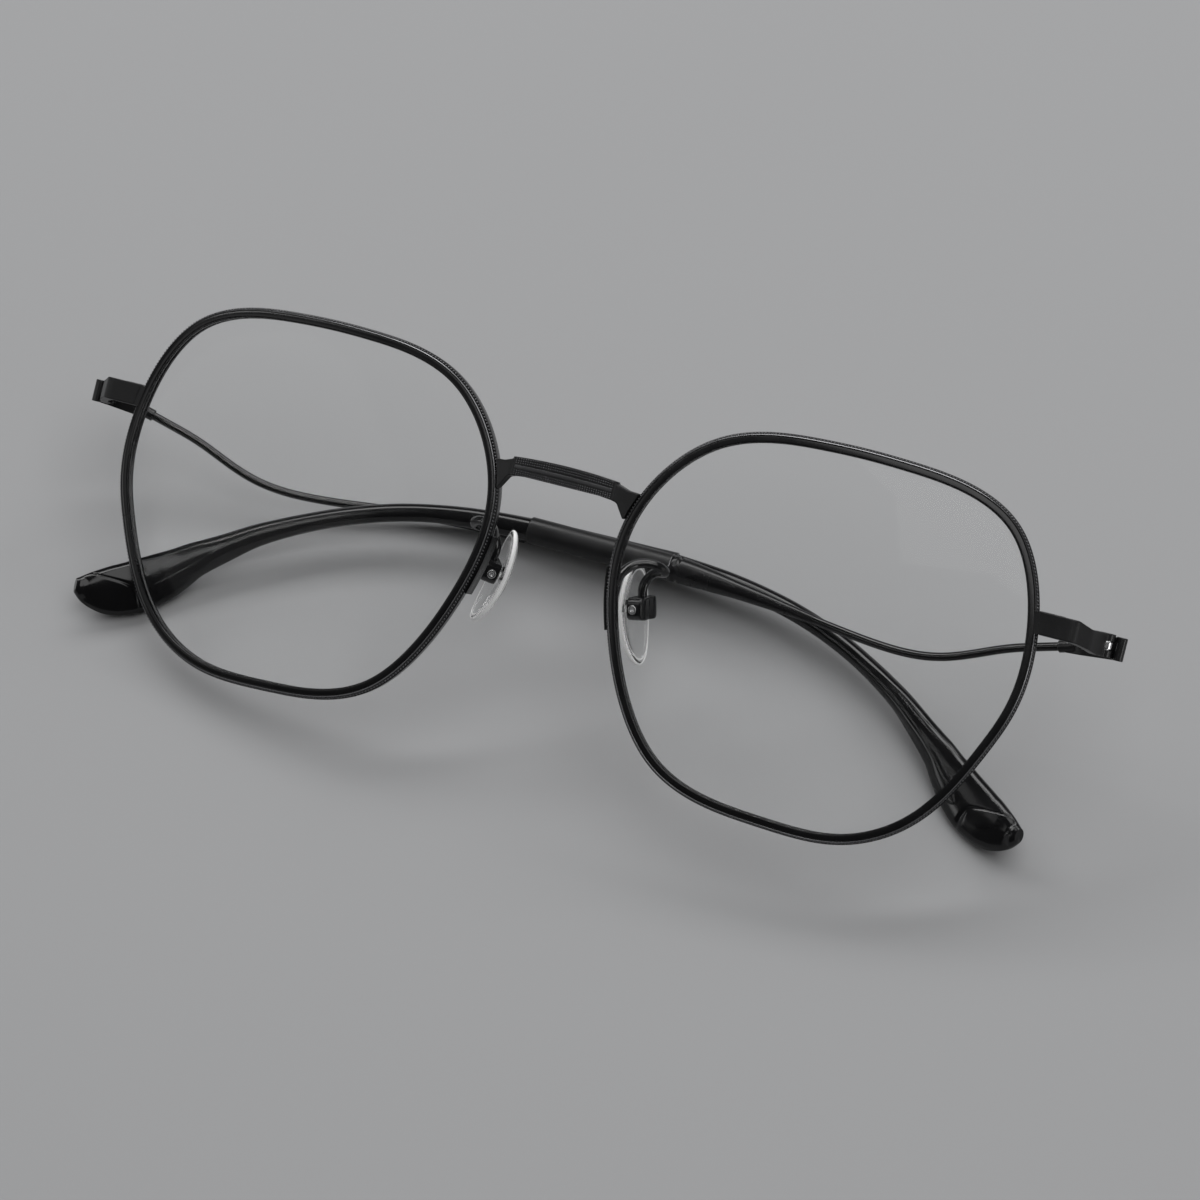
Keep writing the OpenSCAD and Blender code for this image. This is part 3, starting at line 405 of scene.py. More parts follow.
def rim_turn_at(y, low, high, rising):
    """Curve parameter where the outer edge passes the height y."""
    for _ in range(30):
        mid = (low + high) / 2
        low, high = (mid, high) if (rim_point(mid).y < y) == rising else (low, mid)
    return (low + high) / 2


LENS = Matrix.Translation((lens_x, 0, 0)) @ Matrix.Rotation(math.radians(wrap), 4, "Y")
rim_start = rim_turn_at(strip_y + split_gap / 2, 0, 1, True)
rim_end = rim_turn_at(strip_y - split_gap / 2, 0, 1, True) + TURNS
steps_per_turn = 30
rim_stations = ([rim_start]
                + [i / steps_per_turn for i in range(math.floor(rim_start * steps_per_turn) + 1,
                                                     math.ceil(rim_end * steps_per_turn))]
                + [rim_end])
print("rim stations:", len(rim_stations))

# %% [markdown]
# ## Section of the rim wire
#
# The section below runs once round the wire. Seen from the front it has a smooth
# face on the lens side, a fine dark groove, a polished line, and a band for the
# beads that slopes back to the widest point. Behind that it curves in again.
# The polished lines are strips of the same skin with a brighter finish, so no
# seam opens beside them.

# %% Sweep the rims
rim_mid = rim_depth / 2
rim_section = [           # (outwards from the outer edge, back from the front, material slot)
    (-0.62, 0.09, 0), (-0.57, 0.12, 0), (-0.54, 0.22, 0), (-0.48, 0.22, 0),
    (-0.45, 0.13, 1), (-0.4, 0.12, 1), (-0.32, 0.19, 0), (-0.36, 0.28, 0),
    (-0.13, 0.84, 0), (-0.03, 0.9, 1), (0.0, 1.02, 1), (-0.02, 1.18, 0),
    (-0.08, 1.6, 0), (-0.16, 1.95, 0), (-0.27, 2.17, 0), (-0.42, 2.27, 0), (-0.6, 2.3, 0),
    (-0.86, 2.24, 0), (-1.1, 2.06, 0), (-1.27, 1.8, 0), (-1.34, 1.58, 0),
    (-rim_face, rim_mid + 0.35, 0), (groove - rim_face, rim_mid, 0), (-rim_face, rim_mid - 0.35, 0),
    (-rim_face, 0.2, 0), (-1.335, 0.1, 0), (-1.28, 0.03, 0), (-1.2, 0.0, 0), (-1.1, 0.0, 0), (-0.85, 0.04, 0)]

for side in SIDES:
    rings = [[beside_rim(t, a, b) for a, b, _ in rim_section] for t in rim_stations]
    mesh = skin(rings, slots=[kind for _, _, kind in rim_section])
    place_piece(f"rim_wire_{side}", mesh, on_side(side) @ LENS, [rim_black, edge_polish],
                "front", [f"rim_{side}"], flat_above=28)
print("rim section points:", len(rim_section))

# %% [markdown]
# ## Strip seats
#
# The end piece's strip is soldered over the sloping band, so a short seat fills
# the band there, level with the strip's own face. It follows the rim for the
# height of the strip, so it is swept by the same function as the rim.

# %% Seat of the strip on the rim
seat_h, seat_steps = 2.7, 12
seat_section = ((-0.6, 0.1), (-0.55, 0.05), (0.05, 0.02), (0.05, 0.95), (-0.3, 0.95))
seat_low = rim_turn_at(strip_y - seat_h / 2, -0.5, 1.5, True)
seat_high = rim_turn_at(strip_y + seat_h / 2, -0.5, 1.5, True)
for side in SIDES:
    turns = [seat_low + (seat_high - seat_low) * i / seat_steps for i in range(seat_steps + 1)]
    rings = [[beside_rim(t, a, b) for a, b in seat_section] for t in turns]
    place_piece(f"strip_seat_{side}", skin(rings), on_side(side) @ LENS, [satin_black],
                "front")
print("strip seat over", round(seat_high - seat_low, 3), "of a cage step")

# %% [markdown]
# ## Beads along a path
#
# The sloping band between the polished lines is pressed into a row of tiny
# beads. A bump texture could draw them, but would vanish in the silhouette. They
# repeat and follow a path, so Geometry Nodes place them: the path is resampled
# at an even spacing and one small bead is set on each point. The same tree
# serves the rims and the bridge, with its two sizes as named inputs.

# %% Geometry Nodes tree for beads
def bead_tree(material):
    """Node tree that sets a bead at even steps along a path."""
    tree = bpy.data.node_groups.new("beads_on_path", "GeometryNodeTree")
    tree.interface.new_socket("Path", in_out="INPUT", socket_type="NodeSocketGeometry")
    tree.interface.new_socket("Spacing", in_out="INPUT", socket_type="NodeSocketFloat")
    tree.interface.new_socket("Bead radius", in_out="INPUT", socket_type="NodeSocketFloat")
    tree.interface.new_socket("Beads", in_out="OUTPUT", socket_type="NodeSocketGeometry")
    nodes, links = tree.nodes, tree.links
    start, end = nodes.new("NodeGroupInput"), nodes.new("NodeGroupOutput")
    curve = nodes.new("GeometryNodeMeshToCurve")
    even = nodes.new("GeometryNodeResampleCurve")
    even.mode = "LENGTH"
    bead = nodes.new("GeometryNodeMeshUVSphere")
    bead.inputs["Segments"].default_value = 8
    bead.inputs["Rings"].default_value = 5
    repeat = nodes.new("GeometryNodeInstanceOnPoints")
    real = nodes.new("GeometryNodeRealizeInstances")
    finish = nodes.new("GeometryNodeSetMaterial")
    finish.inputs["Material"].default_value = material
    links.new(start.outputs["Path"], curve.inputs["Mesh"])
    links.new(curve.outputs["Curve"], even.inputs["Curve"])
    links.new(start.outputs["Spacing"], even.inputs["Length"])
    links.new(start.outputs["Bead radius"], bead.inputs["Radius"])
    links.new(even.outputs["Curve"], repeat.inputs["Points"])
    links.new(bead.outputs["Mesh"], repeat.inputs["Instance"])
    links.new(repeat.outputs["Instances"], real.inputs["Geometry"])
    links.new(real.outputs["Geometry"], finish.inputs["Geometry"])
    links.new(finish.outputs["Geometry"], end.inputs["Beads"])
    return tree


def beads_along(points, spacing, radius, tree):
    """A mesh of beads on the path through the points, in the points' own units."""
    path = bpy.data.meshes.new("bead_path")
    path.from_pydata([tuple(p) for p in points], [(i, i + 1) for i in range(len(points) - 1)], [])
    carrier = bpy.data.objects.new("bead_path", path)
    bpy.context.scene.collection.objects.link(carrier)
    modifier = carrier.modifiers.new("beads", "NODES")
    modifier.node_group = tree
    for item in tree.interface.items_tree:
        if item.in_out == "INPUT" and item.name == "Spacing":
            modifier[item.identifier] = spacing
        if item.in_out == "INPUT" and item.name == "Bead radius":
            modifier[item.identifier] = radius
    seen = carrier.evaluated_get(bpy.context.evaluated_depsgraph_get())
    mesh = bpy.data.meshes.new_from_object(seen)
    bpy.data.objects.remove(carrier)
    mesh.materials.clear()
    return mesh


beads = bead_tree(band_black)

# %% Beads round the rims
bead_spacing, bead_radius = 0.43, 0.155
bead_out, bead_back = -0.22, 0.54     # the middle of the sloping band
for side in SIDES:
    path = [beside_rim(t, bead_out, bead_back) for t in rim_stations]
    mesh = beads_along(path, bead_spacing, bead_radius, beads)
    piece = place_piece(f"rim_beads_{side}", mesh, on_side(side) @ LENS, [band_black],
                        "front", flat_above=60)
    print(piece.name, len(piece.data.polygons), "faces")

# %% [markdown]
# ## Lenses
#
# Each lens is a thin meniscus: two spherical faces a millimetre and a half
# apart, and a bevel at the edge that sits in the rim's groove. Rings that
# shrink towards the middle give both faces their curve, where a filled outline
# would stay flat. The edge sits in the dark groove, so it is painted the rim's
# black and not the clear plastic: painted shade for the groove round it.

# %% Turn the lens outline into two curved faces
lens_t, lens_play, groove_half = 1.5, 0.05, 0.35
lens_edge = -rim_face - lens_play
bevel_top = groove - rim_face - lens_play
lens_front = (rim_depth - lens_t) / 2
lens_back = lens_front + lens_t
bevel_half = groove_half - lens_play
lens_stations = [i / 16 for i in range(TURNS * 16)]
lens_rings = 14


def lens_face_ring(k, back):
    """The lens outline shrunk by k and laid on its sphere."""
    ring = []
    for t in lens_stations:
        p = beside_rim(t, lens_edge, 0)
        q = Vector((p.x, p.y)) * k
        ring.append(Vector((q.x, q.y, sphere_z(q) - back)))
    return ring


for side in SIDES:
    rings = [lens_face_ring(k / lens_rings, lens_front) for k in range(1, lens_rings)]
    for a, b in ((lens_edge, lens_front), (lens_edge, rim_depth / 2 - bevel_half),
                 (bevel_top, rim_depth / 2), (lens_edge, rim_depth / 2 + bevel_half),
                 (lens_edge, lens_back)):
        rings.append([beside_rim(t, a, b) for t in lens_stations])
    rings += [lens_face_ring(k / lens_rings, lens_back) for k in range(lens_rings - 1, 0, -1)]
    # The edge rings get the rim's black: painted shade for the dark groove they sit in.
    groove_shade_rings = [1 if lens_rings - 1 <= i < lens_rings + 3 else 0 for i in range(len(rings))]
    mesh = skin(rings, ring_slots=groove_shade_rings)
    place_piece(f"clear_lens_{side}", mesh, on_side(side) @ LENS, [lens_clear, rim_black],
                "front", [f"lens_{side}"], flat_above=25)
    print("lens", side, "has", len(mesh.polygons), "faces")

# %% [markdown]
# ## Pieces that keep their solid shape
#
# The end pieces, hinges, locks, boxes and screws already have the right shape
# in the solid model. A real edge is never knife sharp, though: tumbling and
# lacquer round it, and that soft edge is what catches the light. A Bevel would
# be held back by the shortest edge of such a piece, so each copy is covered with
# a fine even grid by a Remesh modifier and then smoothed, which rounds every
# edge by the same amount. The copy then takes the node's place.

# %% Round the edges of the solid pieces
def rolled(node, rounds, materials, body, grid=0.07):
    """A copy of a CAD node on an even grid (mm), smoothed in the given rounds."""
    mesh = frame["nodes"][node].data.copy()
    bm = bmesh.new()
    bm.from_mesh(mesh)
    bmesh.ops.remove_doubles(bm, verts=bm.verts, dist=2e-6)
    bm.to_mesh(mesh)
    bm.free()
    piece = bpy.data.objects.new(f"rolled_{node}", mesh)
    bpy.context.scene.collection.objects.link(piece)
    even = piece.modifiers.new("even grid", "REMESH")
    even.mode = "VOXEL"
    even.voxel_size = grid * MM
    soft = piece.modifiers.new("soft edges", "SMOOTH")
    soft.factor = 0.5
    soft.iterations = rounds
    seen = piece.evaluated_get(bpy.context.evaluated_depsgraph_get())
    final = bpy.data.meshes.new_from_object(seen)
    piece.modifiers.clear()
    piece.data = final
    final.materials.clear()
    for material in materials:
        final.materials.append(material)
    for polygon in final.polygons:
        polygon.material_index = 0
    final.shade_smooth()
    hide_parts(node)
    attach(piece, body)
    return len(final.polygons)


faces = 0
for side in SIDES:
    faces += rolled(f"end_piece_{side}", 16, [satin_black], "front")
    faces += rolled(f"front_hinge_{side}", 5, [hinge_black], "front", 0.06)
    faces += rolled(f"rim_lock_{side}", 6, [rim_black], "front")
    faces += rolled(f"lock_screw_{side}", 3, [steel], "front", 0.04)
    faces += rolled(f"hinge_screw_{side}", 3, [steel], "front", 0.04)
    faces += rolled(f"pad_box_{side}", 45, [wire_black], "front", 0.06)
    faces += rolled(f"pad_screw_{side}", 3, [steel], "front", 0.04)
    faces += rolled(f"temple_leaf_{side}", 10, [hinge_black], f"temple_{side}", 0.06)
    faces += rolled(f"hinge_barrel_{side}", 4, [steel], f"temple_{side}", 0.05)
faces += rolled("bridge", 12, [satin_black], "front")
print("rolled pieces have", faces, "faces")

# %% [markdown]
# ## Bridge ornament
#
# The plate's face carries six fine dotted rows, three above and three below a
# broad polished line. The rows follow the plate's slight arch, so they are paths
# for the bead tree, and the line is a low ridge laid on the plate.

# %% Lines and beads on the bridge plate
plate_l, plate_h, plate_arch, plate_y, plate_z = 14.0, 2.2, 0.35, 11.75, 1.6
line_reach, line_share, line_wide, line_tall = 6.5, 0.45, 0.5, 0.05
row_reach, row_spacing, row_radius, row_sunk = 6.4, 0.3, 0.095, 0.03


def plate_line(share, z, reach, count=40):
    """A line across the plate at a share of its height, following the arch."""
    points = []
    for i in range(count + 1):
        x = reach * (2 * i / count - 1)
        rise = plate_arch * (1 - (x / (plate_l / 2)) ** 2) * max(0.0, share)
        points.append(Vector((x, plate_y - plate_h / 2 + plate_h * share + rise, z)))
    return points


def ridge(points, wide, tall):
    """A low rounded ridge along a line on the plate."""
    rings = []
    for p in points:
        rings.append([p + Vector((0, wide / 2 * c, tall * s)) for c, s in
                      ((-1, -0.6), (-0.8, 0.5), (-0.3, 1), (0.3, 1), (0.8, 0.5), (1, -0.6))])
    return skin(rings)


polished = ridge(plate_line(line_share, plate_z, line_reach), line_wide, line_tall)
place_piece("bridge_line", polished, FRONT, [edge_polish], "front")
bead_rows = {"a": 0.91, "b": 0.79, "c": 0.67, "d": 0.25, "e": 0.14, "f": 0.04}
for name, share in bead_rows.items():
    mesh = beads_along(plate_line(share, plate_z - row_sunk, row_reach), row_spacing, row_radius, beads)
    place_piece(f"bridge_beads_{name}", mesh, FRONT, [band_black], "front", flat_above=60)
print("bead rows on the bridge:", len(bead_rows))

# %% [markdown]
# ## Temples
#
# A temple is one thin wire. It leaves its socket low, dips, rises into a turned
# cone, runs through a straight satin sleeve and ends in a moulded tip that
# widens and bends down behind the ear. One cage in the temple's own frame
# gives the line for all four.

# %% The temple's line
temple_reach, wire_d, wire_lead, wire_in = 131.8, 1.1, 4.5, 0.6
knuckle_d, leaf_t, leaf_angle = 1.9, 0.9, 13.5
leaf_mid = -knuckle_d / 2 - 0.1 - leaf_t / 2
socket_x, socket_y, socket_slope = -4.4, -1.12, math.radians(15)
temple_route = [(20, 6, -7), (27, 7.5, -7.5), (36, 9.5, -6.5), (48, 11, -5), (62, 12, -4),
                (76, 11.5, -4), (90, 10.5, -4.5), (102, 8.5, -8), (112, 5, -13.5),
                (122, 1, -21.5), (130, -3, -25), (131.8, -4.2, -25)]


def leaf_to_temple(p):
    """Leaf frame to (distance along the folding line, distance behind it, height)."""
    c, s = math.cos(math.radians(leaf_angle)), math.sin(math.radians(leaf_angle))
    return Vector((-p[0] * c + p[2] * s, -p[0] * s - p[2] * c, p[1]))


socket_way = Vector((-math.cos(socket_slope), -math.sin(socket_slope), 0))
wire_start = leaf_to_temple(Vector((socket_x, socket_y, leaf_mid)) + (wire_in + 0.05) * socket_way)
wire_way = leaf_to_temple(socket_way)
temple_cage = [wire_start + d * wire_lead * wire_way for d in (0, 1, 2)] + [Vector(p) for p in temple_route]


def temple_turn_at(s):
    """Curve parameter where the line is s away from the hinge."""
    low, high = 0.0, len(temple_cage) - 1.0
    for _ in range(30):
        mid = (low + high) / 2
        low, high = (mid, high) if open_point(temple_cage, mid).x < s else (low, mid)
    return (low + high) / 2


def temple_frame(s):
    """Middle of the temple's line and its upward and sideways directions."""
    t = temple_turn_at(s)
    mid, way = open_point(temple_cage, t), open_tangent(temple_cage, t)
    up = (Vector((0, 0, 1)) - way.z * way).normalized()
    return mid, up, way.cross(up)


def to_space(p):
    """From (along, behind, up) to the temple frame's X, Y and Z."""
    return Vector((-p.x, p.z, -p.y))


def temple_ring(s, d, sides):
    """Round ring of diameter d, square to the temple's line."""
    mid, up, across = temple_frame(s)
    angles = [2 * math.pi * k / sides for k in range(sides)]
    return [to_space(mid + up * (d / 2 * math.cos(a)) + across * (d / 2 * math.sin(a))) for a in angles]


def between(stops, s):
    """Value at s on straight lines through (s, value) stops."""
    for (a, va), (b, vb) in zip(stops, stops[1:]):
        if s <= b:
            u = max(0.0, min(1.0, (s - a) / (b - a)))
            return va + (vb - va) * u
    return stops[-1][1]


print("temple starts", [round(v, 2) for v in wire_start])

# %% [markdown]
# ## Temple wires
#
# The wire is a drawn rod a little over a millimetre thick. A bevelled curve
# would do, but rings at chosen distances start exactly in the socket and end
# exactly inside the tip.

# %% Temple wires
wire_end, wire_steps = 121.0, 150
wire_stops = [wire_start.x + 0.01 + (wire_end - wire_start.x) * (i / wire_steps)
              for i in range(wire_steps + 1)]
for side in SIDES:
    rings = [temple_ring(s, wire_d, 20) for s in wire_stops]
    place_piece(f"wire_{side}", skin(rings), on_temple(side), [wire_black], f"temple_{side}",
                [f"temple_wire_{side}"])

# %% [markdown]
# ## Cones
#
# The cone is turned from the same metal: it swells, then a narrow neck and a
# ring set it off from the sleeve. A turned piece is a list of places and
# diameters, and the rings follow the bent line where a plain Spin could not.

# %% Turned cone
sleeve_at, sleeve_l, sleeve_d, cone_d = 58.0, 19.8, 3.5, 3.4
cone_start, ring_at = sleeve_at - 20, sleeve_at - 0.7
cone_profile = [(cone_start, wire_d + 0.12), (cone_start + 2, wire_d + 0.26),
                (cone_start + 4, wire_d + 0.45), (cone_start + 7.2, wire_d + 0.85),
                (cone_start + 11, cone_d - 1.05), (cone_start + 14, cone_d - 0.55),
                (cone_start + 17, cone_d - 0.15), (ring_at - 0.5, cone_d)]
cone_stops = [(cone_start + (ring_at - 0.6 - cone_start) * i / 40) for i in range(41)]
cone_outer = [(s, between(cone_profile, s)) for s in cone_stops]
cone_outer += [(ring_at - 0.5, cone_d), (ring_at - 0.42, cone_d - 0.1), (ring_at - 0.36, cone_d - 0.3),
               (ring_at - 0.3, cone_d - 0.36), (ring_at, cone_d - 0.36), (ring_at + 0.06, cone_d - 0.3),
               (ring_at + 0.1, cone_d - 0.08), (ring_at + 0.17, cone_d), (sleeve_at - 0.1, cone_d),
               (sleeve_at - 0.04, cone_d - 0.04), (sleeve_at, cone_d - 0.14)]
cone_bore = [(sleeve_at - (sleeve_at - cone_start) * i / 12, wire_d + 0.1) for i in range(13)]
for side in SIDES:
    rings = [temple_ring(s, d, 40) for s, d in cone_outer + cone_bore]
    place_piece(f"cone_{side}", skin(rings, loop=True), on_temple(side), [rim_black], f"temple_{side}",
                [f"temple_cone_{side}"])
print("cone from", cone_start, "to", sleeve_at)

# %% [markdown]
# ## Sleeves
#
# The sleeve is a plain straight tube. Its ends are slightly rounded, with a
# bright edge where the lacquer wears, and its satin surface is a touch rougher
# than the lacquer round it. It stays straight although the line bends a little,
# so it is revolved round its own middle line.

# %% Satin sleeve
sleeve_r, sleeve_bore_r, sleeve_gap = sleeve_d / 2, wire_d / 2 + 0.38, 0.1
sleeve_angles = [2 * math.pi * k / 56 for k in range(56)]
for side in SIDES:
    start = to_space(temple_frame(sleeve_at)[0])
    end = to_space(temple_frame(sleeve_at + sleeve_l)[0])
    line = (end - start).normalized()
    start, end = start + sleeve_gap * line, end - sleeve_gap * line
    turn = line.to_track_quat("Z", "Y").to_matrix()
    length = (end - start).length
    round_end = [(0.0, sleeve_r - 0.12), (0.03, sleeve_r - 0.04), (0.1, sleeve_r), (0.3, sleeve_r)]
    profile = round_end + [(length * i / 12, sleeve_r) for i in range(1, 12)]
    profile += [(length - p, r) for p, r in reversed(round_end)]
    profile += [(length, sleeve_bore_r), (0.0, sleeve_bore_r)]
    rings = [[start + turn @ Vector((r * math.cos(a), r * math.sin(a), z)) for a in sleeve_angles]
             for z, r in profile]
    bright = [1 if sleeve_bore_r < r < sleeve_r else 0 for _, r in profile]
    mesh = skin(rings, loop=True, ring_slots=bright)
    place_piece(f"sleeve_{side}", mesh, on_temple(side), [satin_black, edge_polish], f"temple_{side}",
                [f"temple_sleeve_{side}"])
    print("sleeve", side, round(length, 2), "mm long")

# %% [markdown]
# ## Tips
#
# The tip is moulded on: slim behind the sleeve, then a paddle that swells on its
# lower side. Its inner face is nearly flat between two bevels, with a low ridge
# along it and an arc-shaped groove that sets off a rounded facet at the end. A
# ring of points round the line carries all of that, so the whole tip is one
# closed skin. The rings stand closer together where the groove crosses them.

# %% Tip profile along the temple
tip_d, tip_w, tip_t, paddle_l = 3.1, 7.0, 3.0, 33.0
slim = tip_d - 0.65
tip_begin = sleeve_at + sleeve_l
end = temple_reach
neck = end - paddle_l - tip_begin
tip_profile = [           # (place, width, thickness, raised)
    (tip_begin, tip_d, tip_d, 0),
    (tip_begin + 0.31 * neck, tip_d - 0.3, tip_d - 0.3, 0),
    (tip_begin + 0.67 * neck, slim, slim + 0.2, 0),
    (end - paddle_l, slim, tip_t - 0.2, 0),
    (end - 0.82 * paddle_l, slim + 0.05, tip_t - 0.1, 0.05),
    (end - 0.7 * paddle_l, slim + 0.25, tip_t, 0.15),
    (end - 0.61 * paddle_l, slim + 0.55, tip_t, 0.25),
    (end - 0.51 * paddle_l, 0.52 * tip_w, tip_t, 0.12),
    (end - 0.42 * paddle_l, 0.64 * tip_w, tip_t, 0.05),
    (end - 0.35 * paddle_l, 0.8 * tip_w, tip_t, -0.06 * tip_w),
    (end - 0.28 * paddle_l, 0.94 * tip_w, tip_t, -0.12 * tip_w),
    (end - 0.21 * paddle_l, tip_w, tip_t, -0.16 * tip_w),
    (end - 0.15 * paddle_l, 0.97 * tip_w, tip_t, -0.17 * tip_w),
    (end - 0.1 * paddle_l, 0.86 * tip_w, tip_t - 0.1, -0.16 * tip_w),
    (end - 0.064 * paddle_l, 0.7 * tip_w, tip_t - 0.3, -0.13 * tip_w),
    (end - 0.033 * paddle_l, 0.49 * tip_w, tip_t - 0.7, -0.09 * tip_w),
    (end - 0.012 * paddle_l, 0.28 * tip_w, tip_t - 1.4, -0.04 * tip_w)]


def through(column, s):
    """Smooth curve through one column of the profile, without overshoot."""
    rows = tip_profile
    i = max(0, min(len(rows) - 2, next((k - 1 for k, row in enumerate(rows) if row[0] > s), len(rows) - 2)))
    rise = [(b[column] - a[column]) / (b[0] - a[0]) for a, b in zip(rows, rows[1:])]

    def slope(k):
        if k == 0 or k == len(rows) - 1:
            return rise[min(k, len(rise) - 1)]
        return 0 if rise[k - 1] * rise[k] <= 0 else 2 * rise[k - 1] * rise[k] / (rise[k - 1] + rise[k])

    a, b = rows[i], rows[i + 1]
    span = b[0] - a[0]
    x = max(0.0, min(1.0, (s - a[0]) / span))
    return ((2 * x**3 - 3 * x * x + 1) * a[column] + (x**3 - 2 * x * x + x) * span * slope(i)
            + (3 * x * x - 2 * x**3) * b[column] + (x**3 - x * x) * span * slope(i + 1))


print("tip from", tip_begin, "to", end)

# %% Ring round the tip
face_points, back_points = 40, 30
low_bevel, high_bevel = 1.05, 0.5
fall_low, fall_high = 0.2, 0.36          # how far the face falls to its edges, as a share
tip_clear = 0.05                         # keeps the rounded skin off the table
arc_back, arc_middle, arc_bend = 6.85, -1.9, 0.4
groove_deep, groove_wide, facet_fall = 0.15, 0.27, 0.07
ridge_end, ridge_run, ridge_low, ridge_climb = end - 8.2, 24, -2.0, 0.228
ridge_half, ridge_tall = 0.75, 0.06


def soft_step(x):
    """Smooth step from 0 to 1."""
    x = max(0.0, min(1.0, x))
    return x * x * (3 - 2 * x)


def sunk(s, u):
    """How deep the inner face lies at a place: arc groove, end facet, low ridge."""
    past = s - (end - arc_back + arc_bend * max(0.0, u - arc_middle) ** 2)
    arc = groove_deep * math.exp(-(past / groove_wide) ** 2)
    facet = facet_fall * max(0.0, past)
    before = max(0.0, ridge_end - s)
    middle = min(ridge_low + ridge_climb * before, 0.0)
    half = ridge_half * math.sqrt(min(1.0, before / 0.8))
    across_ridge = soft_step((half - abs(u - middle)) / 0.3)
    along_ridge = soft_step((s - ridge_end + ridge_run) / 8)
    return arc + facet - ridge_tall * across_ridge * along_ridge


def face_points_of(wide, thick):
    """Inner face of the paddle from its lower edge to its upper one: bevel, face, bevel."""
    h, t = wide / 2, thick / 2
    low, high = -h + low_bevel, h - high_bevel
    points = []
    for i in range(9):
        x = math.pi / 2 * i / 9 * 0.75
        points.append((-h + low_bevel * (1 - math.cos(x)), 0.8 * t * math.sin(x)))
    for i in range(face_points):
        x = -1 + 2 * i / (face_points - 1)
        fall = fall_low if x < 0 else fall_high
        points.append(((low + high) / 2 + x * (high - low) / 2, t * (1 - fall * x * x)))
    for i in range(1, 10):
        x = i / 9
        points.append((h - high_bevel * (1 - x), t * (0.62 - 0.25 * x - 0.25 * x * x)))
    return points


def tip_ring(s):
    """Ring round the tip: its inner face first, then its rounded back."""
    mid, up, across = temple_frame(s)
    wide, thick, raised = through(1, s) - tip_clear, through(2, s) - 2 * tip_clear, through(3, s)
    power = 2 / (2 + 0.5 * (wide - slim) / tip_w)
    flat = soft_step((wide - slim - 0.2) / 1.8)
    face_wide = max(wide, 3.2)
    made = face_points_of(face_wide, thick)
    squeeze = wide / face_wide
    count = len(made)
    ring = []
    for k in range(count + back_points):
        a = math.pi * (1 - k / (count - 1)) if k < count else -math.pi * (k - count + 1) / (back_points + 1)
        u = wide / 2 * math.copysign(abs(math.cos(a)) ** power, math.cos(a))
        v = thick / 2 * math.copysign(abs(math.sin(a)) ** power, math.sin(a))
        if k < count:
            u += flat * (made[k][0] * squeeze - u)
            v += flat * (made[k][1] - v)
            v -= flat * soft_step(v / (0.6 * thick / 2)) * sunk(s, raised + u)
        ring.append(to_space(mid + up * (raised + u) + across * v))
    return ring


# %% Moulded tip
def turned_back(ring):
    """The same ring, started at its lowest point and run the other way round."""
    half = len(ring) // 2
    return [ring[(half - k) % len(ring)] for k in range(len(ring))]


arc_zone = 9              # the last millimetres, where the groove needs closer rings
tip_stops = ([tip_begin + neck * i / 24 for i in range(24)]
             + [end - paddle_l + (paddle_l - arc_zone) * i / 100 for i in range(100)]
             + [end - arc_zone + (arc_zone - 0.012 * paddle_l) * i / 140 for i in range(141)])
for side in SIDES:
    outer = [tip_ring(s) for s in tip_stops]
    depth = wire_end + 0.4
    inner = [turned_back(temple_ring(tip_begin + (depth - tip_begin) * i / 30, wire_d + 0.14, len(outer[0])))
             for i in range(30, -1, -1)]
    place_piece(f"tip_{side}", skin(inner + outer), on_temple(side), [tip_black], f"temple_{side}",
                [f"temple_tip_{side}"], flat_above=50)
print("tip rings:", len(tip_stops))

# %% [markdown]
# ## Nose pads
#
# Each pad is a clear, slightly crowned oval on a small stem. The stem's eye
# turns on a screw in a box, and a wire arm carries the box from a foot that is
# soldered to the rim. All of it is described in one small frame on the screw,
# because the two arms of a real pair are never bent quite alike.

# %% Pad places
pad_place = Vector((nose_gap / 2 + 2.6, -1.85, -10.1))
pad_turn = {"left": 34, "right": 15}      # the left arm is bent further round
pad_splay, pad_lean = 10.6, 9
pad_h, pad_w, pad_t, pad_crown = 13.0, 6.6, 1.5, 0.65
box_w, box_h, box_l, box_wall, stem_d, screw_off = 2.25, 2.9, 4.4, 0.42, 1.2, -0.1
pad_near = -box_w / 2 - 0.55
pad_low, pad_back = 1, 1.2


def pad_frame(side):
    """Frame of a pad on its screw, in the right side's front frame."""
    splay = Matrix.Rotation(math.radians(pad_splay), 4, "Z")
    turn = Matrix.Rotation(math.radians(-pad_turn[side]), 4, "Y")
    lean = Matrix.Rotation(math.radians(pad_lean), 4, "X")
    return Matrix.Translation(pad_place) @ splay @ turn @ lean


# %% [markdown]
# ## Pads
#
# A pad is moulded in soft clear plastic: flat behind, round at the edge, gently
# bent along its height. A squashed sphere would be too round, so ovals of
# chosen size and depth are stacked. The outermost ones carry the number that
# the clear material reads for its painted glow, the white edge of caught light.

# %% Clear pads
pad_edge = [(0.2, 0.0), (0.4, 0.0), (0.62, 0.0), (0.78, -0.005), (0.84, -0.01), (0.88, -0.016),
            (0.92, -0.035), (0.965, -0.1), (0.99, -0.2), (1.0, -0.38), (0.99, -0.6), (0.96, -0.8),
            (0.93, -0.9), (0.89, -1.0), (0.8, -1.15), (0.66, -1.31), (0.5, -1.42), (0.35, -1.48),
            (0.18, -1.5)]
pad_sides = 72


def pad_bend(y):
    """How far the pad's ends bend back towards its box."""
    return pad_crown * (y / (pad_h / 2)) ** 2


def painted_pad_glow(size, back):
    """Painted glow: a white outer edge and a fainter line inside it on the front face, for light caught in
    the plastic.
    """
    if size > 0.985:
        return 1.0
    return 0.8 if 0.87 < size < 0.91 and back > -0.5 else 0.0


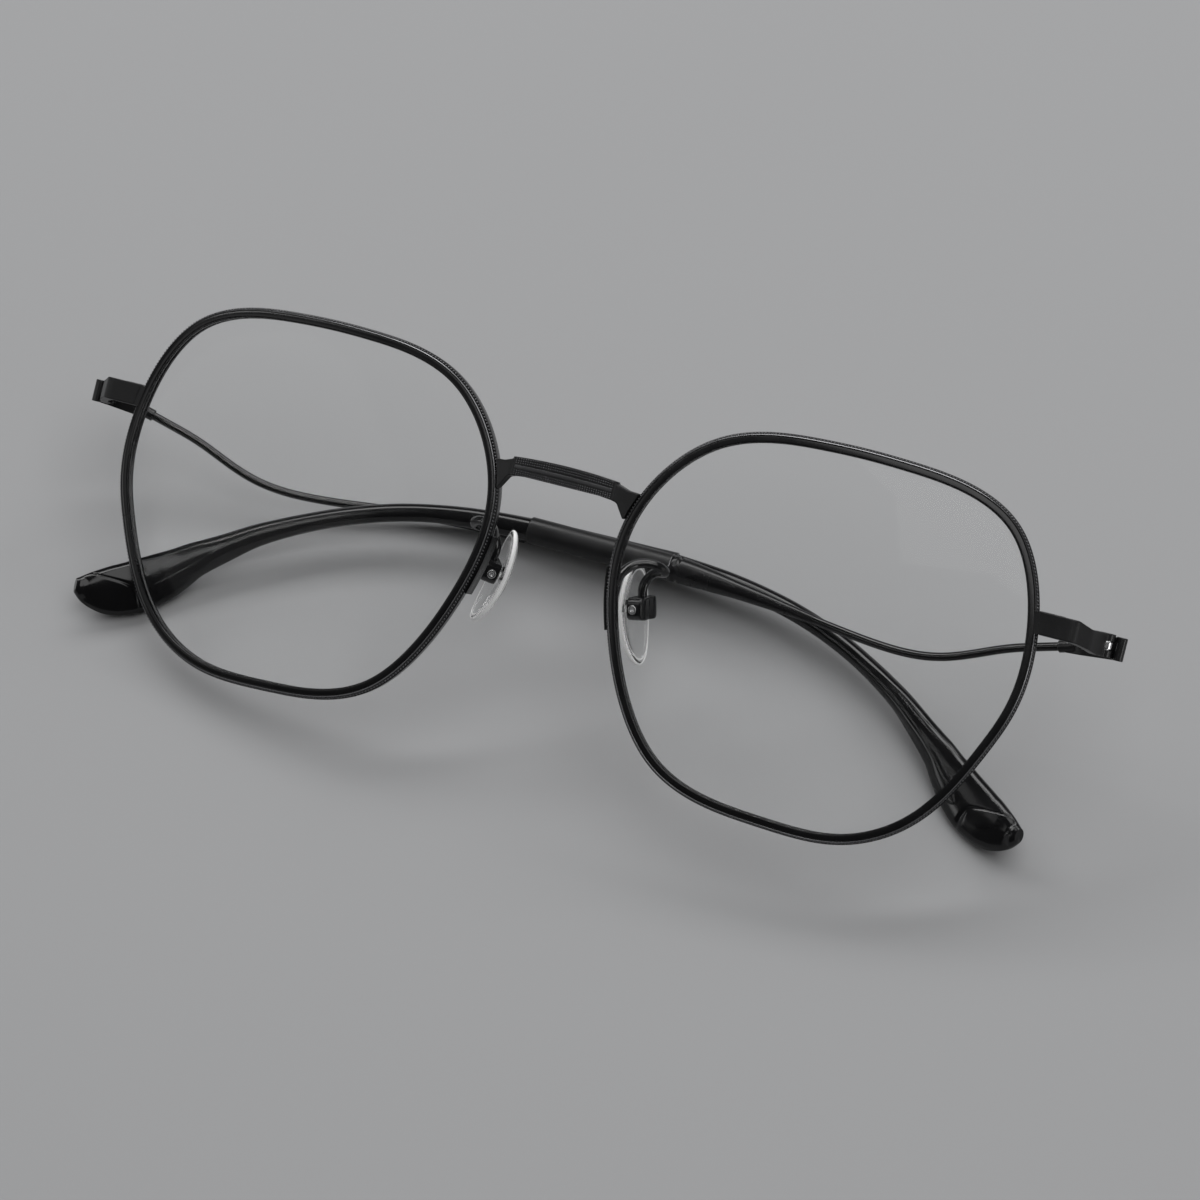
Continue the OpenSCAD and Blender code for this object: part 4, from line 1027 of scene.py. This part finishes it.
for side in SIDES:
    rings = []
    for size, back in pad_edge:
        ring = []
        for k in range(pad_sides):
            y = pad_h / 2 * size * math.cos(2 * math.pi * k / pad_sides)
            z = pad_w / 2 * size * math.sin(2 * math.pi * k / pad_sides)
            ring.append(Vector((pad_near + pad_bend(y) + back * pad_t / 1.5, y - pad_low, z - pad_back)))
        rings.append(ring)
    mesh = skin(rings)
    # Painted glow of light caught in the plastic, kept on the points for the material to read.
    painted_glow_share = [painted_pad_glow(size, back) for size, back in pad_edge]
    mark(mesh, "edge", [w for w in painted_glow_share for _ in range(pad_sides)] + [0.0, 0.0])
    place_piece(f"clear_pad_{side}", mesh, on_side(side) @ pad_frame(side), [pad_clear], f"pad_{side}",
                [f"nose_pad_{side}"], flat_above=60)

# %% [markdown]
# The stem and its eye are moulded with the pad. One outline, a straight web with
# a round end, is pushed through the width of the box.

# %% The pad's stem and eye
stem_l = box_l - 2 * box_wall - 0.2
stem_in, stem_half = 0.4, 0.42
for side in SIDES:
    outline = [(pad_near - stem_in, -stem_half)]
    for i in range(17):
        a = math.radians(-90 + 180 * i / 16)
        outline.append((screw_off + stem_d / 2 * math.cos(a), stem_d / 2 * math.sin(a)))
    outline += [(pad_near - stem_in, stem_half)]
    rings = [[Vector((x, y, z)) for x, y in outline] for z in
             [-stem_l / 2 + stem_l * i / 4 for i in range(5)]]
    place_piece(f"pad_stem_{side}", skin(rings), on_side(side) @ pad_frame(side), [pad_clear],
                f"pad_{side}", flat_above=40)

# %% [markdown]
# ## Pad arms
#
# An arm is one wire, bent by hand with pliers: back from the rim, round, and
# down into the box. A cage of points smoothed by a spline bends like that by
# itself. A small foot, swept along the rim, is the solder that holds it.

# %% Pad arms
arm_d = 1.2
arm_bend = [(0.2, 1.3, -3), (0.4, 2.4, -4.4), (1.3, 3.5, -5.6), (2.7, 3.9, -6.2),
            (4.1, 3.8, -6.9), (4.8, 3.2, -7.9), (4, 3, -8.8), (3, 3, -9.5), (2.1, 2.3, -10)]
nose_turn = rim_turn_at(0, 5, 6.5, False)
rim_back = LENS @ beside_rim(nose_turn, -rim_face / 2, rim_depth)
behind = rim_depth + 0.01
foot_section = [(-0.1, 0.95), (-0.4, behind), (-rim_face / 2 - 0.2, behind),
                (-rim_face / 2 - 0.2, behind + 0.25), (-rim_face / 2 - 0.1, behind + 0.29),
                (0.25, behind + 0.29), (0.32, behind + 0.2), (0.28, 0.75)]
foot_turns = [5.5 + i / 32 for i in range(17)]
arm_start = rim_back + Vector((0, 0, -0.2 - arm_d / 2))


def arm_route(side):
    """Cage of the arm's wire, from the rim to the top of the box."""
    top = pad_frame(side) @ Vector((0, box_h / 2 + 0.02, 0))
    up = (pad_frame(side).to_3x3() @ Vector((0, 1, 0))).normalized()
    return ([arm_start - Vector((0, 1, 0)), arm_start + Vector((0, 0.2, 0))]
            + [Vector((nose_gap / 2 + x + 0.4, y, z)) for x, y, z in arm_bend] + [top + 1.3 * up, top])


def wire_ring(cage, t, d, sides):
    """Round ring across a wire that follows a cage."""
    mid, way = open_point(cage, t), open_tangent(cage, t)
    across = (Vector((1, 0, 0)) - way.x * way).normalized()
    up = across.cross(way)
    angles = [2 * math.pi * k / sides for k in range(sides)]
    return [mid + d / 2 * (math.cos(a) * across + math.sin(a) * up) for a in angles]


for side in SIDES:
    route = arm_route(side)
    last = len(route) - 1
    rings = [wire_ring(route, last * k / 90, arm_d, 24) for k in range(91)]
    place_piece(f"pad_wire_{side}", skin(rings), on_side(side), [wire_black], "front",
                [f"pad_arm_{side}"])
    rings = [[beside_rim(t, a, b) for a, b in foot_section] for t in foot_turns]
    place_piece(f"pad_foot_{side}", skin(rings), on_side(side) @ LENS, [rim_black],
                "front", flat_above=40)
    print("arm", side, "follows", len(route), "cage points")

# %% [markdown]
# ## Table, light and camera
#
# The glasses lie on a plain grey table under two large soft panels. Black
# lacquer shows only what it mirrors, so the main panel is long and narrow: it
# draws long soft lines on the wires and leaves the rest deep black. Three small
# weak lamps stand low at the sides, for the faces that look that way.

# %% Table
bpy.ops.mesh.primitive_plane_add(size=6, location=(0, 0, 0))
table = bpy.context.active_object
table.name = "table"
table_mat, nodes, links, shader = shader_of("grey_table")
shader.inputs["Roughness"].default_value = 0.9
place = nodes.new("ShaderNodeTexCoord")
grain = nodes.new("ShaderNodeTexNoise")
grain.inputs["Scale"].default_value = 6
links.new(place.outputs["Object"], grain.inputs["Vector"])
tone = nodes.new("ShaderNodeMix")
tone.data_type = "RGBA"
tone.inputs["A"].default_value = (0.32, 0.322, 0.328, 1)
tone.inputs["B"].default_value = (0.33, 0.332, 0.338, 1)
links.new(grain.outputs["Fac"], tone.inputs["Factor"])
links.new(tone.outputs["Result"], shader.inputs["Base Color"])
table.data.materials.append(table_mat)

# %% Lamps and world
def panel(name, at, aim, wide, tall, power):
    """A soft rectangular lamp that looks at a point."""
    data = bpy.data.lights.new(name, "AREA")
    data.shape = "RECTANGLE"
    data.size, data.size_y = wide, tall
    data.energy = power
    lamp = bpy.data.objects.new(name, data)
    lamp.location = at
    lamp.rotation_euler = (Vector(aim) - Vector(at)).to_track_quat("-Z", "Y").to_euler()
    bpy.context.scene.collection.objects.link(lamp)
    return lamp


panel("main_panel", (-0.4, 0.7, 0.8), (0, 0, 0), 2.0, 0.36, 11.6)
panel("top_panel", (0.3, 0.1, 1.1), (0, 0, 0), 1.2, 1.0, 8.3)
panel("left_panel", (-0.62, -0.36, 0.6), (0, 0, 0), 0.4, 0.4, 0.4)
panel("low_left", (-0.9, -0.33, 0.14), (0, 0, 0), 0.4, 0.14, 0.45)
panel("low_right", (0.74, -0.16, 0.19), (0, 0, 0), 0.3, 0.25, 0.6)
world = bpy.data.worlds.new("room")
world.use_nodes = True
world.node_tree.nodes["Background"].inputs["Color"].default_value = (1, 1, 1, 1)
world.node_tree.nodes["Background"].inputs["Strength"].default_value = 0.06
bpy.context.scene.world = world

# %% [markdown]
# The camera stands a little to the right of the glasses, half a metre away, and
# is turned slightly, so that the front runs down to the right in the picture.
# It was found by fitting the outlines of the solid model to the photo, so it is
# given in the front's frame and in the photo's pixels.

# %% Camera
picture, focal_px, centre_px = 1200, 3878.9, (544.32, 570.31)      # in pixels of the photo
cam_turn, cam_rise, cam_roll = math.radians(17.66), math.radians(2.26), math.radians(13.81)
cam_at = Vector((145.66, 18.97, 457.52))
right_way = Vector((math.cos(cam_turn), 0, -math.sin(cam_turn)))
towards = Vector((math.sin(cam_turn) * math.cos(cam_rise), math.sin(cam_rise),
                  math.cos(cam_turn) * math.cos(cam_rise)))
up_way = towards.cross(right_way)
cam_x = math.cos(cam_roll) * right_way + math.sin(cam_roll) * up_way
cam_y = math.cos(cam_roll) * up_way - math.sin(cam_roll) * right_way
camera_data = bpy.data.cameras.new("camera")
camera_data.sensor_width = 36
camera_data.lens = camera_data.sensor_width * focal_px / picture
camera_data.shift_x = (picture / 2 - centre_px[0]) / picture
camera_data.shift_y = -(picture / 2 - centre_px[1]) / picture
camera_data.clip_start = 0.01
camera = bpy.data.objects.new("camera", camera_data)
bpy.context.scene.collection.objects.link(camera)
turned = axes @ Matrix((cam_x, cam_y, towards)).transposed()
camera.matrix_world = Matrix.Translation(FRONT @ cam_at) @ turned.to_4x4()
bpy.context.scene.camera = camera
bpy.context.scene.view_settings.view_transform = "Standard"
print("camera at", [round(v, 3) for v in camera.matrix_world.translation])
